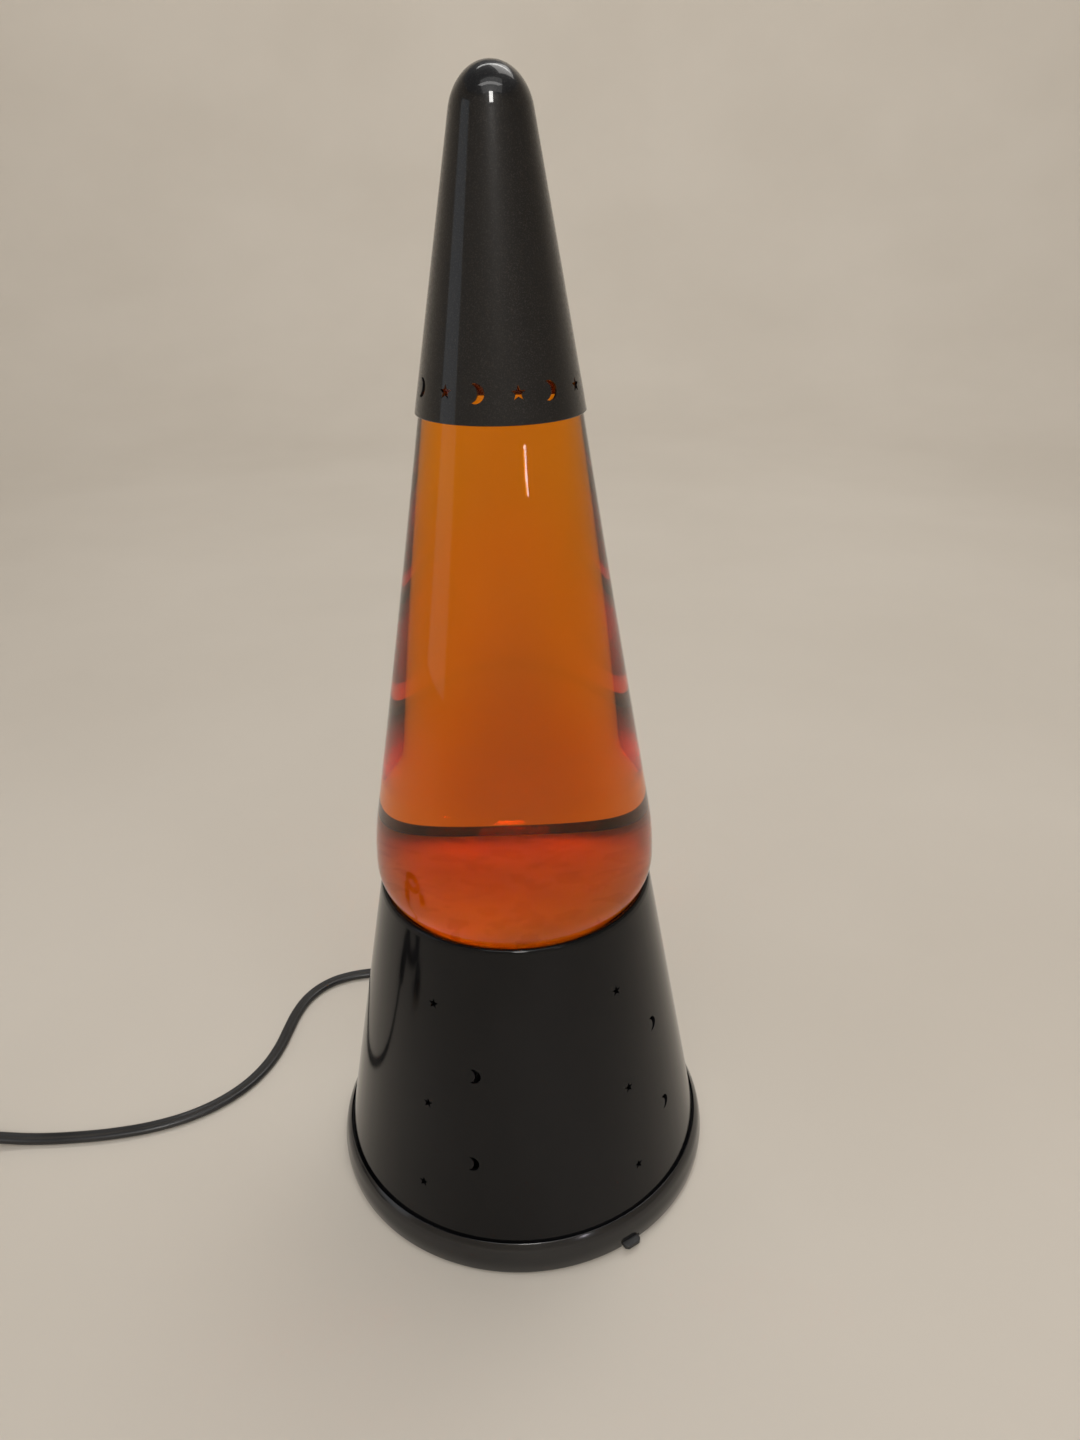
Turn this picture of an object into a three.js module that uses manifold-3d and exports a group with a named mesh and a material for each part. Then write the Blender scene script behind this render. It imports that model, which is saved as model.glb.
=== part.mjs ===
// A lava lamp: a glass globe of orange liquid and wax under a pierced metal cap, standing in a pierced
// conical base that holds the bulb which warms it. Its flat two-core cord has an inline switch and a plug.
// Millimetres, +Z up. The origin is on the table, on the lamp's axis, and -Y is the front.
import * as THREE from 'three';
import { mergeVertices } from 'three/addons/utils/BufferGeometryUtils.js';
import Module from 'manifold-3d';

const wasm = await Module();
wasm.setup();

// ---------------------------------------------------------------- driving dimensions
const GAP = 0.3; // clearance between pieces that touch
const SEGMENTS = 32; // round the large turned pieces
const SMALL_SEGMENTS = 20; // round the small turned pieces

const LAMP_TOP = 413.3;
const FOOT_RADIUS = 80;
const CONE_TAPER = 0.1835; // radius lost per millimetre of height, base shell
const BASE_RIM_Z = 137.9;
const BASE_RIM_RADIUS = 53.3;
const BASE_BOTTOM_Z = 13.4;
const SHEET = 1.2; // base shell's metal
const HEM_RADIUS = 1.2; // rolled edge at the base shell's mouth

const GLOBE_WIDEST_Z = 148;
const GLOBE_WIDEST_RADIUS = 54.2;
const GLOBE_TAPER = 0.18; // slope of the globe's cone just above its belly
const GLOBE_FLARE = 4.75e-5; // how fast that slope eases towards the neck, per millimetre squared
const GLOBE_CONE_Z = 168;
const GLOBE_HEEL_RADIUS = 17;
const GLOBE_SHOULDER = [22.4, 336]; // radius and height where the globe turns in under the cap
const GLOBE_FLOOR_Z = 112;
const GLASS = 2.2;
const NECK_RADIUS = 12.6;
const NECK_TOP_Z = 364;
const WAX_TOP_Z = 136.6;
const LIQUID_TOP_Z = 341.8;
const HEATER_WIRE = 2.4; // radius of the coiled wire's winding
const HEATER_RING = 20; // radius of the ring that it lies in
const CROWN_FLUTES = 21;
const CROWN_SKIRT = 5.2; // how far the crown closure reaches down the neck

const CAP_RIM_Z = 316;
const CAP_RIM_RADIUS = 28;
const CAP_TAPER = 0.181;
const CAP_SHEET = 0.9;
const CAP_NOSE_STRETCH = 1.2; // height of the rounded nose over its radius

const STAR_RADIUS = 2.4; // on the cap
const BASE_STAR_RADIUS = 2.2;
const MOON_RADIUS = 3;
const CAP_PUNCH_Z = 325.3;
const CAP_PUNCHES = 7; // moons, and as many stars
const CAP_MOON_START = -17; // degrees from the front, towards +X
const CAP_STAR_START = 12;
const BASE_COLUMNS = 5; // columns of stars, and as many of moons
const BASE_STAR_START = 38.5;
const BASE_MOON_START = -17;
const BASE_STAR_HEIGHTS = [32.4, 68.6, 111.5];
const BASE_MOON_HEIGHTS = [48, 86];

const COVER_RADIUS = 72.2;
const COVER_BOTTOM_Z = 2;
const COVER_THICKNESS = 2;
const COVER_TOP_Z = COVER_BOTTOM_Z + COVER_THICKNESS;
const TAB_ANGLE = 31; // degrees from the front: the tab by which the cover is lifted off
const TAB_WIDTH = 7.5;
const TAB_REACH = FOOT_RADIUS + 2.6;
const VENTS = 12; // air slots in the cover
const VENT_CIRCLE = 44;
const RING_BOTTOM_Z = 1.5;
const RING_INNER = COVER_RADIUS + 0.4;
const LEDGE_Z = BASE_BOTTOM_Z - GAP; // where the foot carries the base shell
const SCREW_CIRCLE = 65.5;
const SCREW_ANGLES = [60, 180, 300];
const FEET_CIRCLE = 60;
const FEET_ANGLES = [45, 135, 225, 315];
const SCREW_HOLE = 2; // radii of the cover's holes
const FOOT_HOLE = 2.4;
const RIVET_HOLE = 1.9;

const SOCKET_RADIUS = 17;
const SOCKET_BOTTOM_Z = 9;
const SOCKET_TOP_Z = 38;
const SOCKET_WALL = 2.6;
const SOCKET_FLOOR = 2.4;
const SLEEVE_OUTER = SOCKET_RADIUS - SOCKET_WALL - GAP;
const SLEEVE_BOTTOM_Z = SOCKET_BOTTOM_Z + 8;
const SLEEVE_THREADS = 4;
const TERMINAL_X = 8;
const BRACKET_FOOT = 34; // rivets, from the lamp's axis
const BRACKET_HALF = 29; // half the distance over the bracket's legs
const BRACKET_WIDTH = 22;
const BRACKET_PLATE_Z = 30;
const STRAP = 1.2;
const BULB_RADIUS = 24;
const BULB_CONTACT_Z = 13;
const BULB_TOP_Z = 99;
const BULB_CAP_RADIUS = 12.8;
const BULB_THREADS = 4;
const BULB_WALL = 0.9;
const NECK_FLARE = 13.4; // bulb's radius where its neck opens into the ball
const THREAD_PITCH = 3.63;

const CORD_WIDTH = 5.8; // flat two-core cord, its two cores side by side
const CORD_THICKNESS = 3;
const CORD_FLOOR_Z = 2; // the cord's middle where it lies on the table
const GLAND_ANGLE = 150; // degrees from the front, clockwise from above: at the rear left
const GLAND_Z = 8;
const GLAND_TIP = 101.6; // from the lamp's axis
const SWITCH_START_X = -258;
const SWITCH_LENGTH = 46;
const SWITCH_WIDTH = 21;
const SWITCH_HEIGHT = 13;
const SWITCH_CORNER = 5;
const SWITCH_END_X = SWITCH_START_X - SWITCH_LENGTH;
const SWITCH_CENTRE_X = (SWITCH_START_X + SWITCH_END_X) / 2;
const SWITCH_MIDDLE_Z = SWITCH_HEIGHT / 2;
const CORD_LINE_Y = -3; // the line that the cord and its switch lie on, left of the lamp
const SWITCH_SCREW_Y = CORD_LINE_Y + 7.2;
const WHEEL_RADIUS = 8.6;
const WHEEL_HALF = 2.1; // half the wheel's thickness
const WHEEL_TEETH = 24;
const WHEEL_Y = CORD_LINE_Y - 4.6;
const COIL_CENTRE = new THREE.Vector2(-336, -41);
const COIL_MEAN_RADIUS = 32;
const COIL_BAND = 18.6; // width of the coil's turns side by side
const COIL_BOTTOM_Z = 1;
const COIL_HEIGHT = 10;
const OUTER_TURN = COIL_MEAN_RADIUS + 6; // radius of the coil's outermost turn
const TIE_ANGLE = 200; // degrees round the coil from +X
const TIE_WIDTH = 4;
const TIE_THICKNESS = 0.6;
const PLUG_BODY_START_X = -292;
const PLUG_LENGTH = 30;
const PLUG_WIDTH = 24;
const PLUG_HEIGHT = 14;
const PLUG_Y = COIL_CENTRE.y - OUTER_TURN;
const PLUG_MIDDLE_Z = PLUG_HEIGHT / 2;
const BLADE_SPACING = 12.7;
const BLADE_LENGTH = 17;
const BLADE_THICKNESS = 1.5;

// ---------------------------------------------------------------- small helpers
const radians = (degrees) => THREE.MathUtils.degToRad(degrees);
const point = (x, y) => new THREE.Vector2(x, y);
const lamp = new THREE.Group();

function add(name, geometry, colour, roughness, metalness = 0) {
  const material = new THREE.MeshStandardMaterial({ color: colour, roughness, metalness });
  const mesh = new THREE.Mesh(geometry, material);
  mesh.name = name;
  lamp.add(mesh);
  return mesh;
}

// A solid of revolution about +Z from [radius, z] pairs, up the outside and down the inside.
function turned(profile, segments = SMALL_SEGMENTS) {
  const points = profile.map(([r, z]) => point(r, z));
  const onAxis = profile[0][0] === 0 && profile.at(-1)[0] === 0;
  if (!onAxis) points.push(points[0].clone());
  return new THREE.LatheGeometry(points, segments).rotateX(Math.PI / 2);
}

function cylinder(radius, bottom, top, segments = SMALL_SEGMENTS) {
  return turned([[0, bottom], [radius, bottom], [radius, top], [0, top]], segments);
}

function box(sizeX, sizeY, sizeZ, x, y, z) {
  return new THREE.BoxGeometry(sizeX, sizeY, sizeZ).translate(x, y, z);
}

// [radius, z] points along an arc, angles in degrees from the outward radius.
function arc(centreR, centreZ, radius, from, to, steps) {
  return Array.from({ length: steps + 1 }, (_, i) => {
    const angle = radians(from + ((to - from) * i) / steps);
    return [centreR + radius * Math.cos(angle), centreZ + radius * Math.sin(angle)];
  });
}

function solid(geometry) {
  const bare = geometry.index ? geometry.toNonIndexed() : geometry.clone();
  bare.deleteAttribute('normal');
  bare.deleteAttribute('uv');
  const merged = mergeVertices(bare, 1e-3);
  const corners = merged.index.array;
  const faces = [];
  for (let i = 0; i < corners.length; i += 3) {
    const [a, b, c] = [corners[i], corners[i + 1], corners[i + 2]];
    if (a !== b && b !== c && c !== a) faces.push(a, b, c);
  }
  return new wasm.Manifold(new wasm.Mesh({
    numProp: 3,
    vertProperties: merged.attributes.position.array,
    triVerts: new Uint32Array(faces),
  }));
}

function meshed(manifold) {
  const { vertProperties, triVerts } = manifold.getMesh();
  const geometry = new THREE.BufferGeometry();
  geometry.setAttribute('position', new THREE.BufferAttribute(vertProperties, 3));
  geometry.setIndex(new THREE.BufferAttribute(triVerts, 1));
  const flat = geometry.toNonIndexed();
  flat.computeVertexNormals();
  return flat;
}

function cut(geometry, cutters) {
  return meshed(cutters.reduce((rest, cutter) => rest.subtract(solid(cutter)), solid(geometry)));
}

function joined(geometries) {
  return meshed(geometries.slice(1).reduce((sum, next) => sum.add(solid(next)), solid(geometries[0])));
}

// Directions at an angle from the front, towards +X.
const outward = (angle) => new THREE.Vector3(Math.sin(radians(angle)), -Math.cos(radians(angle)), 0);
const sideways = (angle) => new THREE.Vector3(Math.cos(radians(angle)), Math.sin(radians(angle)), 0);

function turnTo(geometry, angle) {
  return geometry.rotateZ(radians(angle));
}

// ---------------------------------------------------------------- punched stars and moons
function starShape(radius) {
  const shape = new THREE.Shape();
  const corners = 10;
  for (let i = 0; i < corners; i++) {
    const r = i % 2 ? radius * 0.42 : radius;
    const angle = Math.PI / 2 + (i * 2 * Math.PI) / corners;
    if (i === 0) shape.moveTo(r * Math.cos(angle), r * Math.sin(angle));
    else shape.lineTo(r * Math.cos(angle), r * Math.sin(angle));
  }
  shape.closePath();
  return shape;
}

// A crescent with its horns to the left.
function moonShape(radius) {
  const shape = new THREE.Shape();
  const innerRadius = radius * 0.98;
  const shift = radius * 0.72;
  const horn = Math.acos((radius ** 2 + shift ** 2 - innerRadius ** 2) / (-2 * radius * shift));
  const innerHorn = Math.asin((radius * Math.sin(horn)) / innerRadius);
  shape.absarc(0, 0, radius, -horn, horn, false);
  shape.absarc(-shift, 0, innerRadius, innerHorn, -innerHorn, true);
  return shape;
}

// A punch through a conical wall, square to its surface.
function punch(shape, angle, radius, z, taper) {
  const depth = 8;
  const lean = Math.atan(taper);
  const out = outward(angle);
  const across = sideways(angle);
  const up = new THREE.Vector3(0, 0, 1);
  const normal = out.clone().multiplyScalar(Math.cos(lean)).addScaledVector(up, Math.sin(lean));
  const slope = up.clone().multiplyScalar(Math.cos(lean)).addScaledVector(out, -Math.sin(lean));
  const start = out.clone().multiplyScalar(radius).addScaledVector(up, z).addScaledVector(normal, -depth / 2);
  const place = new THREE.Matrix4().makeBasis(across, slope, normal).setPosition(start);
  const prism = new THREE.ExtrudeGeometry(shape, { depth, bevelEnabled: false, curveSegments: 2 });
  return prism.applyMatrix4(place);
}

// ---------------------------------------------------------------- cap
// An ellipse joined to a cone of the same slope, from the rim up to the tip.
function capProfile(rimRadius, top) {
  const stretch = CAP_NOSE_STRETCH;
  const joinAngle = Math.atan(CAP_TAPER * stretch);
  const coneAtTop = rimRadius - CAP_TAPER * (top - CAP_RIM_Z);
  const nose = coneAtTop / (Math.cos(joinAngle) - CAP_TAPER * stretch * (1 - Math.sin(joinAngle)));
  const centre = top - stretch * nose;
  const steps = 5;
  const points = [[rimRadius, CAP_RIM_Z]];
  for (let i = 0; i <= steps; i++) {
    const angle = joinAngle + ((Math.PI / 2 - joinAngle) * i) / steps;
    points.push([i === steps ? 0 : nose * Math.cos(angle), centre + stretch * nose * Math.sin(angle)]);
  }
  return points;
}

function capShell() {
  const outer = capProfile(CAP_RIM_RADIUS, LAMP_TOP);
  const inner = capProfile(CAP_RIM_RADIUS - CAP_SHEET, LAMP_TOP - CAP_SHEET);
  const body = turned([[0, LAMP_TOP], ...outer.slice(0, -1).reverse(), ...inner].reverse(), SEGMENTS);
  const radius = CAP_RIM_RADIUS - CAP_TAPER * (CAP_PUNCH_Z - CAP_RIM_Z);
  const step = 360 / CAP_PUNCHES;
  const cutters = [];
  for (let i = 0; i < CAP_PUNCHES; i++) {
    cutters.push(punch(moonShape(MOON_RADIUS), CAP_MOON_START + i * step, radius, CAP_PUNCH_Z, CAP_TAPER));
    cutters.push(punch(starShape(STAR_RADIUS), CAP_STAR_START + i * step, radius, CAP_PUNCH_Z, CAP_TAPER));
  }
  return cut(body, cutters);
}

// ---------------------------------------------------------------- globe
function globeRadius(z) {
  const rise = z - GLOBE_CONE_Z;
  const arcRadius = (GLOBE_CONE_Z - GLOBE_WIDEST_Z) / Math.sin(Math.atan(GLOBE_TAPER));
  if (rise < 0) {
    return GLOBE_WIDEST_RADIUS - arcRadius + Math.sqrt(arcRadius ** 2 - (z - GLOBE_WIDEST_Z) ** 2);
  }
  const start = GLOBE_WIDEST_RADIUS - arcRadius * (1 - Math.cos(Math.atan(GLOBE_TAPER)));
  return start - GLOBE_TAPER * rise + GLOBE_FLARE * rise ** 2;
}

// Heel of the globe: an arc from the belly, then a slope down to the flat floor, all inset by a depth.
function globeHeel(inset) {
  const centreR = GLOBE_WIDEST_RADIUS - GLOBE_HEEL_RADIUS;
  const turn = 38;
  const heel = arc(centreR, GLOBE_WIDEST_Z, GLOBE_HEEL_RADIUS - inset, -turn, 0, 4);
  const [startR, startZ] = heel[0];
  const floorZ = GLOBE_FLOOR_Z + inset;
  const slopeEndZ = floorZ + 4;
  const slopeEndR = startR - (startZ - slopeEndZ) * Math.tan(radians(turn));
  return [[slopeEndR - 6, floorZ], [slopeEndR - 2, floorZ + 1], [slopeEndR, slopeEndZ], ...heel];
}

const BODY_HEIGHTS = [158, 170, 215, 268, CAP_RIM_Z];

function globeWall(inset) {
  return BODY_HEIGHTS.map((z) => [globeRadius(z) - inset, z]);
}

function globeBottle() {
  const outer = [
    [0, GLOBE_FLOOR_Z],
    ...globeHeel(0),
    ...globeWall(0),
    GLOBE_SHOULDER,
    [19.5, 343],
    [NECK_RADIUS, 349],
    [NECK_RADIUS, 359],
    [13.2, 360.5],
    [13.2, 363],
    [12.4, NECK_TOP_Z],
  ];
  const inner = [
    [0, GLOBE_FLOOR_Z + GLASS],
    ...globeHeel(GLASS),
    ...globeWall(GLASS),
    [GLOBE_SHOULDER[0] - GLASS, GLOBE_SHOULDER[1]],
    [17.4, 342],
    [NECK_RADIUS - GLASS, 348],
    [NECK_RADIUS - GLASS, NECK_TOP_Z],
  ];
  return turned([...outer, ...inner.reverse()], SEGMENTS);
}

const CONTENTS_INSET = GLASS + GAP;
const CONTENTS_FLOOR_Z = GLOBE_FLOOR_Z + CONTENTS_INSET;

// The inside of the glass from the floor up, less a gap, and its radius at any height on it.
const contentsWall = [
  ...globeHeel(CONTENTS_INSET),
  ...globeWall(CONTENTS_INSET),
  [GLOBE_SHOULDER[0] - CONTENTS_INSET, GLOBE_SHOULDER[1]],
];

function contentsRadius(z) {
  const above = contentsWall.findIndex(([, height]) => height > z);
  const [[r0, z0], [r1, z1]] = contentsWall.slice(above - 1, above + 1);
  return r0 + ((r1 - r0) * (z - z0)) / (z1 - z0);
}

function waxBody() {
  const wall = contentsWall.filter(([, z]) => z < WAX_TOP_Z);
  const profile = [[0, CONTENTS_FLOOR_Z], ...wall, [contentsRadius(WAX_TOP_Z), WAX_TOP_Z], [0, WAX_TOP_Z]];
  return cut(turned(profile, SEGMENTS), [heaterBed()]);
}

function liquidBody() {
  const bottom = WAX_TOP_Z + GAP;
  const wall = contentsWall.filter(([, z]) => z > bottom);
  const profile = [[0, bottom], [contentsRadius(bottom), bottom], ...wall, [16.8, 341.5], [0, LIQUID_TOP_Z]];
  return turned(profile, SEGMENTS);
}

const HEATER_Z = CONTENTS_FLOOR_Z + HEATER_WIRE;

// Ring of coiled wire that lies on the globe's floor under the wax.
function heaterCoil() {
  return turned(arc(HEATER_RING, HEATER_Z, HEATER_WIRE, 0, 315, 7));
}

// The ring's bed in the wax, open below.
function heaterBed() {
  const radius = (HEATER_WIRE + GAP) / Math.cos(radians(22.5));
  const below = CONTENTS_FLOOR_Z - 2;
  const sides = [[HEATER_RING - radius, below], [HEATER_RING + radius, below]];
  return turned([...sides, ...arc(HEATER_RING, HEATER_Z, radius, 0, 180, 4)]);
}

// Crown closure: a disc with a fluted skirt, pressed over the neck's bead.
function crownCap() {
  const skirtBottom = NECK_TOP_Z - CROWN_SKIRT;
  const rolledEdge = 0.2;
  const top = NECK_TOP_Z + 1.5;
  const under = NECK_TOP_Z + 1.1;
  const shell = turned([
    [13.6, skirtBottom],
    [15.4, skirtBottom - rolledEdge],
    [14.4, NECK_TOP_Z - 1],
    [13.2, top],
    [0, top],
    [0, under],
    [12.9, under],
    [13.6, NECK_TOP_Z - 1],
  ], CROWN_FLUTES * 2);
  const position = shell.getAttribute('position');
  for (let i = 0; i < position.count; i++) {
    const [x, y, z] = [position.getX(i), position.getY(i), position.getZ(i)];
    if (z > skirtBottom - rolledEdge / 2) continue;
    const swell = 1 + 0.02 * Math.cos(CROWN_FLUTES * Math.atan2(y, x));
    position.setXY(i, x * swell, y * swell);
  }
  return shell;
}

// ---------------------------------------------------------------- base
const baseRadius = (z) => BASE_RIM_RADIUS + (BASE_RIM_Z - z) * CONE_TAPER;

function baseShell() {
  const hemZ = BASE_RIM_Z - HEM_RADIUS;
  const hemR = BASE_RIM_RADIUS - HEM_RADIUS;
  const body = turned([
    [baseRadius(BASE_BOTTOM_Z) - SHEET, BASE_BOTTOM_Z],
    [baseRadius(BASE_BOTTOM_Z), BASE_BOTTOM_Z],
    ...arc(hemR, hemZ, HEM_RADIUS, 0, 225, 5),
    [baseRadius(hemZ - 3) - SHEET, hemZ - 3],
  ], SEGMENTS);
  const step = 360 / BASE_COLUMNS;
  const cutters = [];
  for (let i = 0; i < BASE_COLUMNS; i++) {
    for (const z of BASE_STAR_HEIGHTS) {
      cutters.push(punch(starShape(BASE_STAR_RADIUS), BASE_STAR_START + i * step, baseRadius(z), z, CONE_TAPER));
    }
    for (const z of BASE_MOON_HEIGHTS) {
      cutters.push(punch(moonShape(MOON_RADIUS), BASE_MOON_START + i * step, baseRadius(z), z, CONE_TAPER));
    }
  }
  return cut(body, cutters);
}

// Moulded foot: a rounded bead outside, a ledge that carries the base shell, and three screw bosses.
function footRing() {
  const lipInner = baseRadius(LEDGE_Z) + GAP;
  const ring = turned([
    [RING_INNER, RING_BOTTOM_Z],
    [FOOT_RADIUS - 1.6, RING_BOTTOM_Z],
    [FOOT_RADIUS - 0.3, RING_BOTTOM_Z + 1.3],
    [FOOT_RADIUS, 5],
    [FOOT_RADIUS - 0.3, 8],
    [FOOT_RADIUS - 1.4, 11.2],
    [FOOT_RADIUS - 2.9, 13.8],
    [lipInner + 0.1, 15],
    [lipInner, LEDGE_Z],
    [RING_INNER, LEDGE_Z],
  ], SEGMENTS);
  const channel = turned([
    [RING_INNER + 1.6, RING_BOTTOM_Z - 1],
    [FOOT_RADIUS - 2.4, RING_BOTTOM_Z - 1],
    [FOOT_RADIUS - 2.4, 8.5],
    [FOOT_RADIUS - 4, LEDGE_Z - 1.6],
    [RING_INNER + 1.6, LEDGE_Z - 1.6],
  ], SEGMENTS);
  const bosses = SCREW_ANGLES.map((angle) => turnTo(screwBoss(), angle));
  const holeAt = (angle) => turnTo(cylinder(1.9, 0, 14, 12).translate(0, -SCREW_CIRCLE, 0), angle);
  const holes = SCREW_ANGLES.map(holeAt);
  const notch = turnTo(box(TAB_WIDTH + 1, 14, 6, 0, -FOOT_RADIUS + 2, COVER_TOP_Z + GAP - 3), TAB_ANGLE);
  const glandHole = glandPlace(cylinder(5.2, 66, 90).scale(1, 0.74, 1));
  const whole = joined([ring, ...bosses]);
  const opened = cut(cut(whole, [channel]), [...holes, notch]);
  return cut(joined([opened, glandCollar()]), [glandHole]);
}

// A post for one of the cover's screws, webbed to the foot's inner wall.
function screwBoss() {
  const bottom = COVER_TOP_Z + GAP;
  const height = 12 - bottom;
  const webEnd = RING_INNER + 1;
  const web = box(6, webEnd - SCREW_CIRCLE, height, 0, -(webEnd + SCREW_CIRCLE) / 2, bottom + height / 2);
  return joined([cylinder(4.6, bottom, bottom + height).translate(0, -SCREW_CIRCLE, 0), web]);
}

// A frame whose +Z is the gland's outward direction: x runs level, y runs up or down.
function glandPlace(geometry) {
  const out = outward(-GLAND_ANGLE);
  const across = sideways(-GLAND_ANGLE);
  const up = new THREE.Vector3(0, 0, 1);
  const place = new THREE.Matrix4().makeBasis(across, up, out).setPosition(0, 0, GLAND_Z);
  return geometry.applyMatrix4(place);
}

// Solid block that the strain relief passes through, between the foot's two walls.
function glandCollar() {
  return glandPlace(box(15, 8.6, 5.4, 0, 0, 75.6));
}

function bottomCover() {
  const disc = cylinder(COVER_RADIUS, COVER_BOTTOM_Z, COVER_TOP_Z, SEGMENTS);
  const tabLength = 16;
  const tabMiddleZ = COVER_TOP_Z - COVER_THICKNESS / 2;
  const tab = box(TAB_WIDTH, tabLength, COVER_THICKNESS, 0, -TAB_REACH + tabLength / 2, tabMiddleZ);
  const slots = [];
  for (let i = 0; i < VENTS; i++) {
    const slot = box(4.5, 16, 8, 0, -VENT_CIRCLE, COVER_BOTTOM_Z);
    slots.push(turnTo(slot, ((i + 0.5) * 360) / VENTS));
  }
  function holeAt(radius, circle, angle) {
    return turnTo(cylinder(radius, 0, 9, 12).translate(0, -circle, 0), angle);
  }
  const holes = [
    ...SCREW_ANGLES.map((angle) => holeAt(SCREW_HOLE, SCREW_CIRCLE, angle)),
    ...FEET_ANGLES.map((angle) => holeAt(FOOT_HOLE, FEET_CIRCLE, angle)),
    ...[90, 270].map((angle) => holeAt(RIVET_HOLE, BRACKET_FOOT, angle)),
  ];
  return cut(joined([disc, turnTo(tab, TAB_ANGLE)]), [...slots, ...holes]);
}

function rubberFoot(angle) {
  const barb = turned([
    [0, 0],
    [6.2, 0],
    [6.5, 0.5],
    [6, COVER_BOTTOM_Z - GAP],
    [2.05, COVER_BOTTOM_Z - GAP],
    [2.05, COVER_TOP_Z + GAP],
    [3, COVER_TOP_Z + GAP],
    [1.4, COVER_TOP_Z + 3],
    [0, COVER_TOP_Z + 3],
  ], 16);
  return turnTo(barb.translate(0, -FEET_CIRCLE, 0), angle);
}

function coverScrew(angle) {
  const screw = turned([
    [0, 0.6],
    [2.6, 0.6],
    [3.4, 1.1],
    [3.4, COVER_BOTTOM_Z - GAP],
    [1.55, COVER_BOTTOM_Z - GAP],
    [1.55, 10],
    [0, 11.4],
  ], 12);
  const slot = box(5.2, 0.8, 1.2, 0, 0, 0.5);
  const crossed = cut(screw, [slot, slot.clone().rotateZ(Math.PI / 2)]);
  return turnTo(crossed.translate(0, -SCREW_CIRCLE, 0), angle);
}

// ---------------------------------------------------------------- socket and bulb
// A strap bridge with a flanged foot each side, and a hole that the socket hangs in.
function socketBracket() {
  const footZ = COVER_TOP_Z + GAP;
  const legHeight = BRACKET_PLATE_Z + STRAP - footZ;
  const footLength = 11;
  const plateDepth = 2 * SOCKET_RADIUS + 8;
  const pieces = [box(2 * BRACKET_HALF, plateDepth, STRAP, 0, 0, BRACKET_PLATE_Z + STRAP / 2)];
  for (const side of [-1, 1]) {
    const legX = side * (BRACKET_HALF - STRAP / 2);
    pieces.push(box(STRAP, BRACKET_WIDTH, legHeight, legX, 0, footZ + legHeight / 2));
    pieces.push(box(footLength, BRACKET_WIDTH, STRAP, side * (BRACKET_HALF + 4.3), 0, footZ + STRAP / 2));
  }
  const hole = cylinder(SOCKET_RADIUS + GAP, BRACKET_PLATE_Z - 2, BRACKET_PLATE_Z + 4, SEGMENTS);
  const rivetHoles = [-BRACKET_FOOT, BRACKET_FOOT].map((x) => cylinder(RIVET_HOLE, 0, 9, 12).translate(x, 0, 0));
  return cut(joined(pieces), [hole, ...rivetHoles]);
}

function bracketRivet(side) {
  const top = COVER_TOP_Z + GAP + STRAP + GAP;
  return turned([
    [0, COVER_BOTTOM_Z - 1.3],
    [2.2, COVER_BOTTOM_Z - 1.3],
    [2.9, COVER_BOTTOM_Z - GAP],
    [1.55, COVER_BOTTOM_Z - GAP],
    [1.55, top],
    [2.9, top],
    [2.2, top + 1],
    [0, top + 1],
  ], 12).translate(side * BRACKET_FOOT, 0, 0);
}

// Insulating cup, flanged to sit on the bracket's plate.
function socketHousing() {
  const flangeZ = BRACKET_PLATE_Z + STRAP + GAP;
  const inner = SOCKET_RADIUS - SOCKET_WALL;
  const cup = turned([
    [0, SOCKET_BOTTOM_Z],
    [SOCKET_RADIUS - 1.5, SOCKET_BOTTOM_Z],
    [SOCKET_RADIUS, SOCKET_BOTTOM_Z + 1.5],
    [SOCKET_RADIUS, flangeZ],
    [SOCKET_RADIUS + 3, flangeZ],
    [SOCKET_RADIUS + 3, flangeZ + 2],
    [SOCKET_RADIUS, SOCKET_TOP_Z],
    [inner, SOCKET_TOP_Z],
    [inner, SOCKET_BOTTOM_Z + SOCKET_FLOOR],
    [0, SOCKET_BOTTOM_Z + SOCKET_FLOOR],
  ], 28);
  const screwHoles = [-1, 1].map((side) => cylinder(1.8, 0, 16, 10).translate(side * TERMINAL_X, 0, 0));
  return cut(cup, screwHoles);
}

function terminalScrew(side) {
  const head = SOCKET_BOTTOM_Z - GAP;
  return turned([
    [0, head - 2],
    [3, head - 2],
    [3, head],
    [1.5, head],
    [1.5, SOCKET_BOTTOM_Z + 2.2],
    [0, SOCKET_BOTTOM_Z + 2.2],
  ], 12).translate(side * TERMINAL_X, 0, 0);
}

// [radius, z] points up a rolled thread, root and crest by turns.
function threadProfile(root, crest, bottom, threads) {
  const halfTurns = Array.from({ length: 2 * threads + 1 }, (_, i) => i);
  return halfTurns.map((i) => [i % 2 ? crest : root, bottom + (i * THREAD_PITCH) / 2]);
}

// Threaded brass sleeve, its ridges rolled at the thread's pitch.
function socketSleeve() {
  const inner = threadProfile(SLEEVE_OUTER - 0.5, SLEEVE_OUTER - 1, SLEEVE_BOTTOM_Z, SLEEVE_THREADS);
  const top = inner.at(-1)[1];
  return turned([[SLEEVE_OUTER, SLEEVE_BOTTOM_Z], [SLEEVE_OUTER, top], ...inner.reverse()]);
}

// Spring strip across the socket's floor, turned up at one end.
function centreContact() {
  const bottom = SOCKET_BOTTOM_Z + SOCKET_FLOOR + GAP;
  const width = 6;
  const strip = box(14, width, 0.6, 0, 0, bottom + 0.3);
  const upturn = box(0.8, width, 2, 5.5, 0, bottom + 0.9);
  return joined([strip, upturn]);
}

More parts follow.
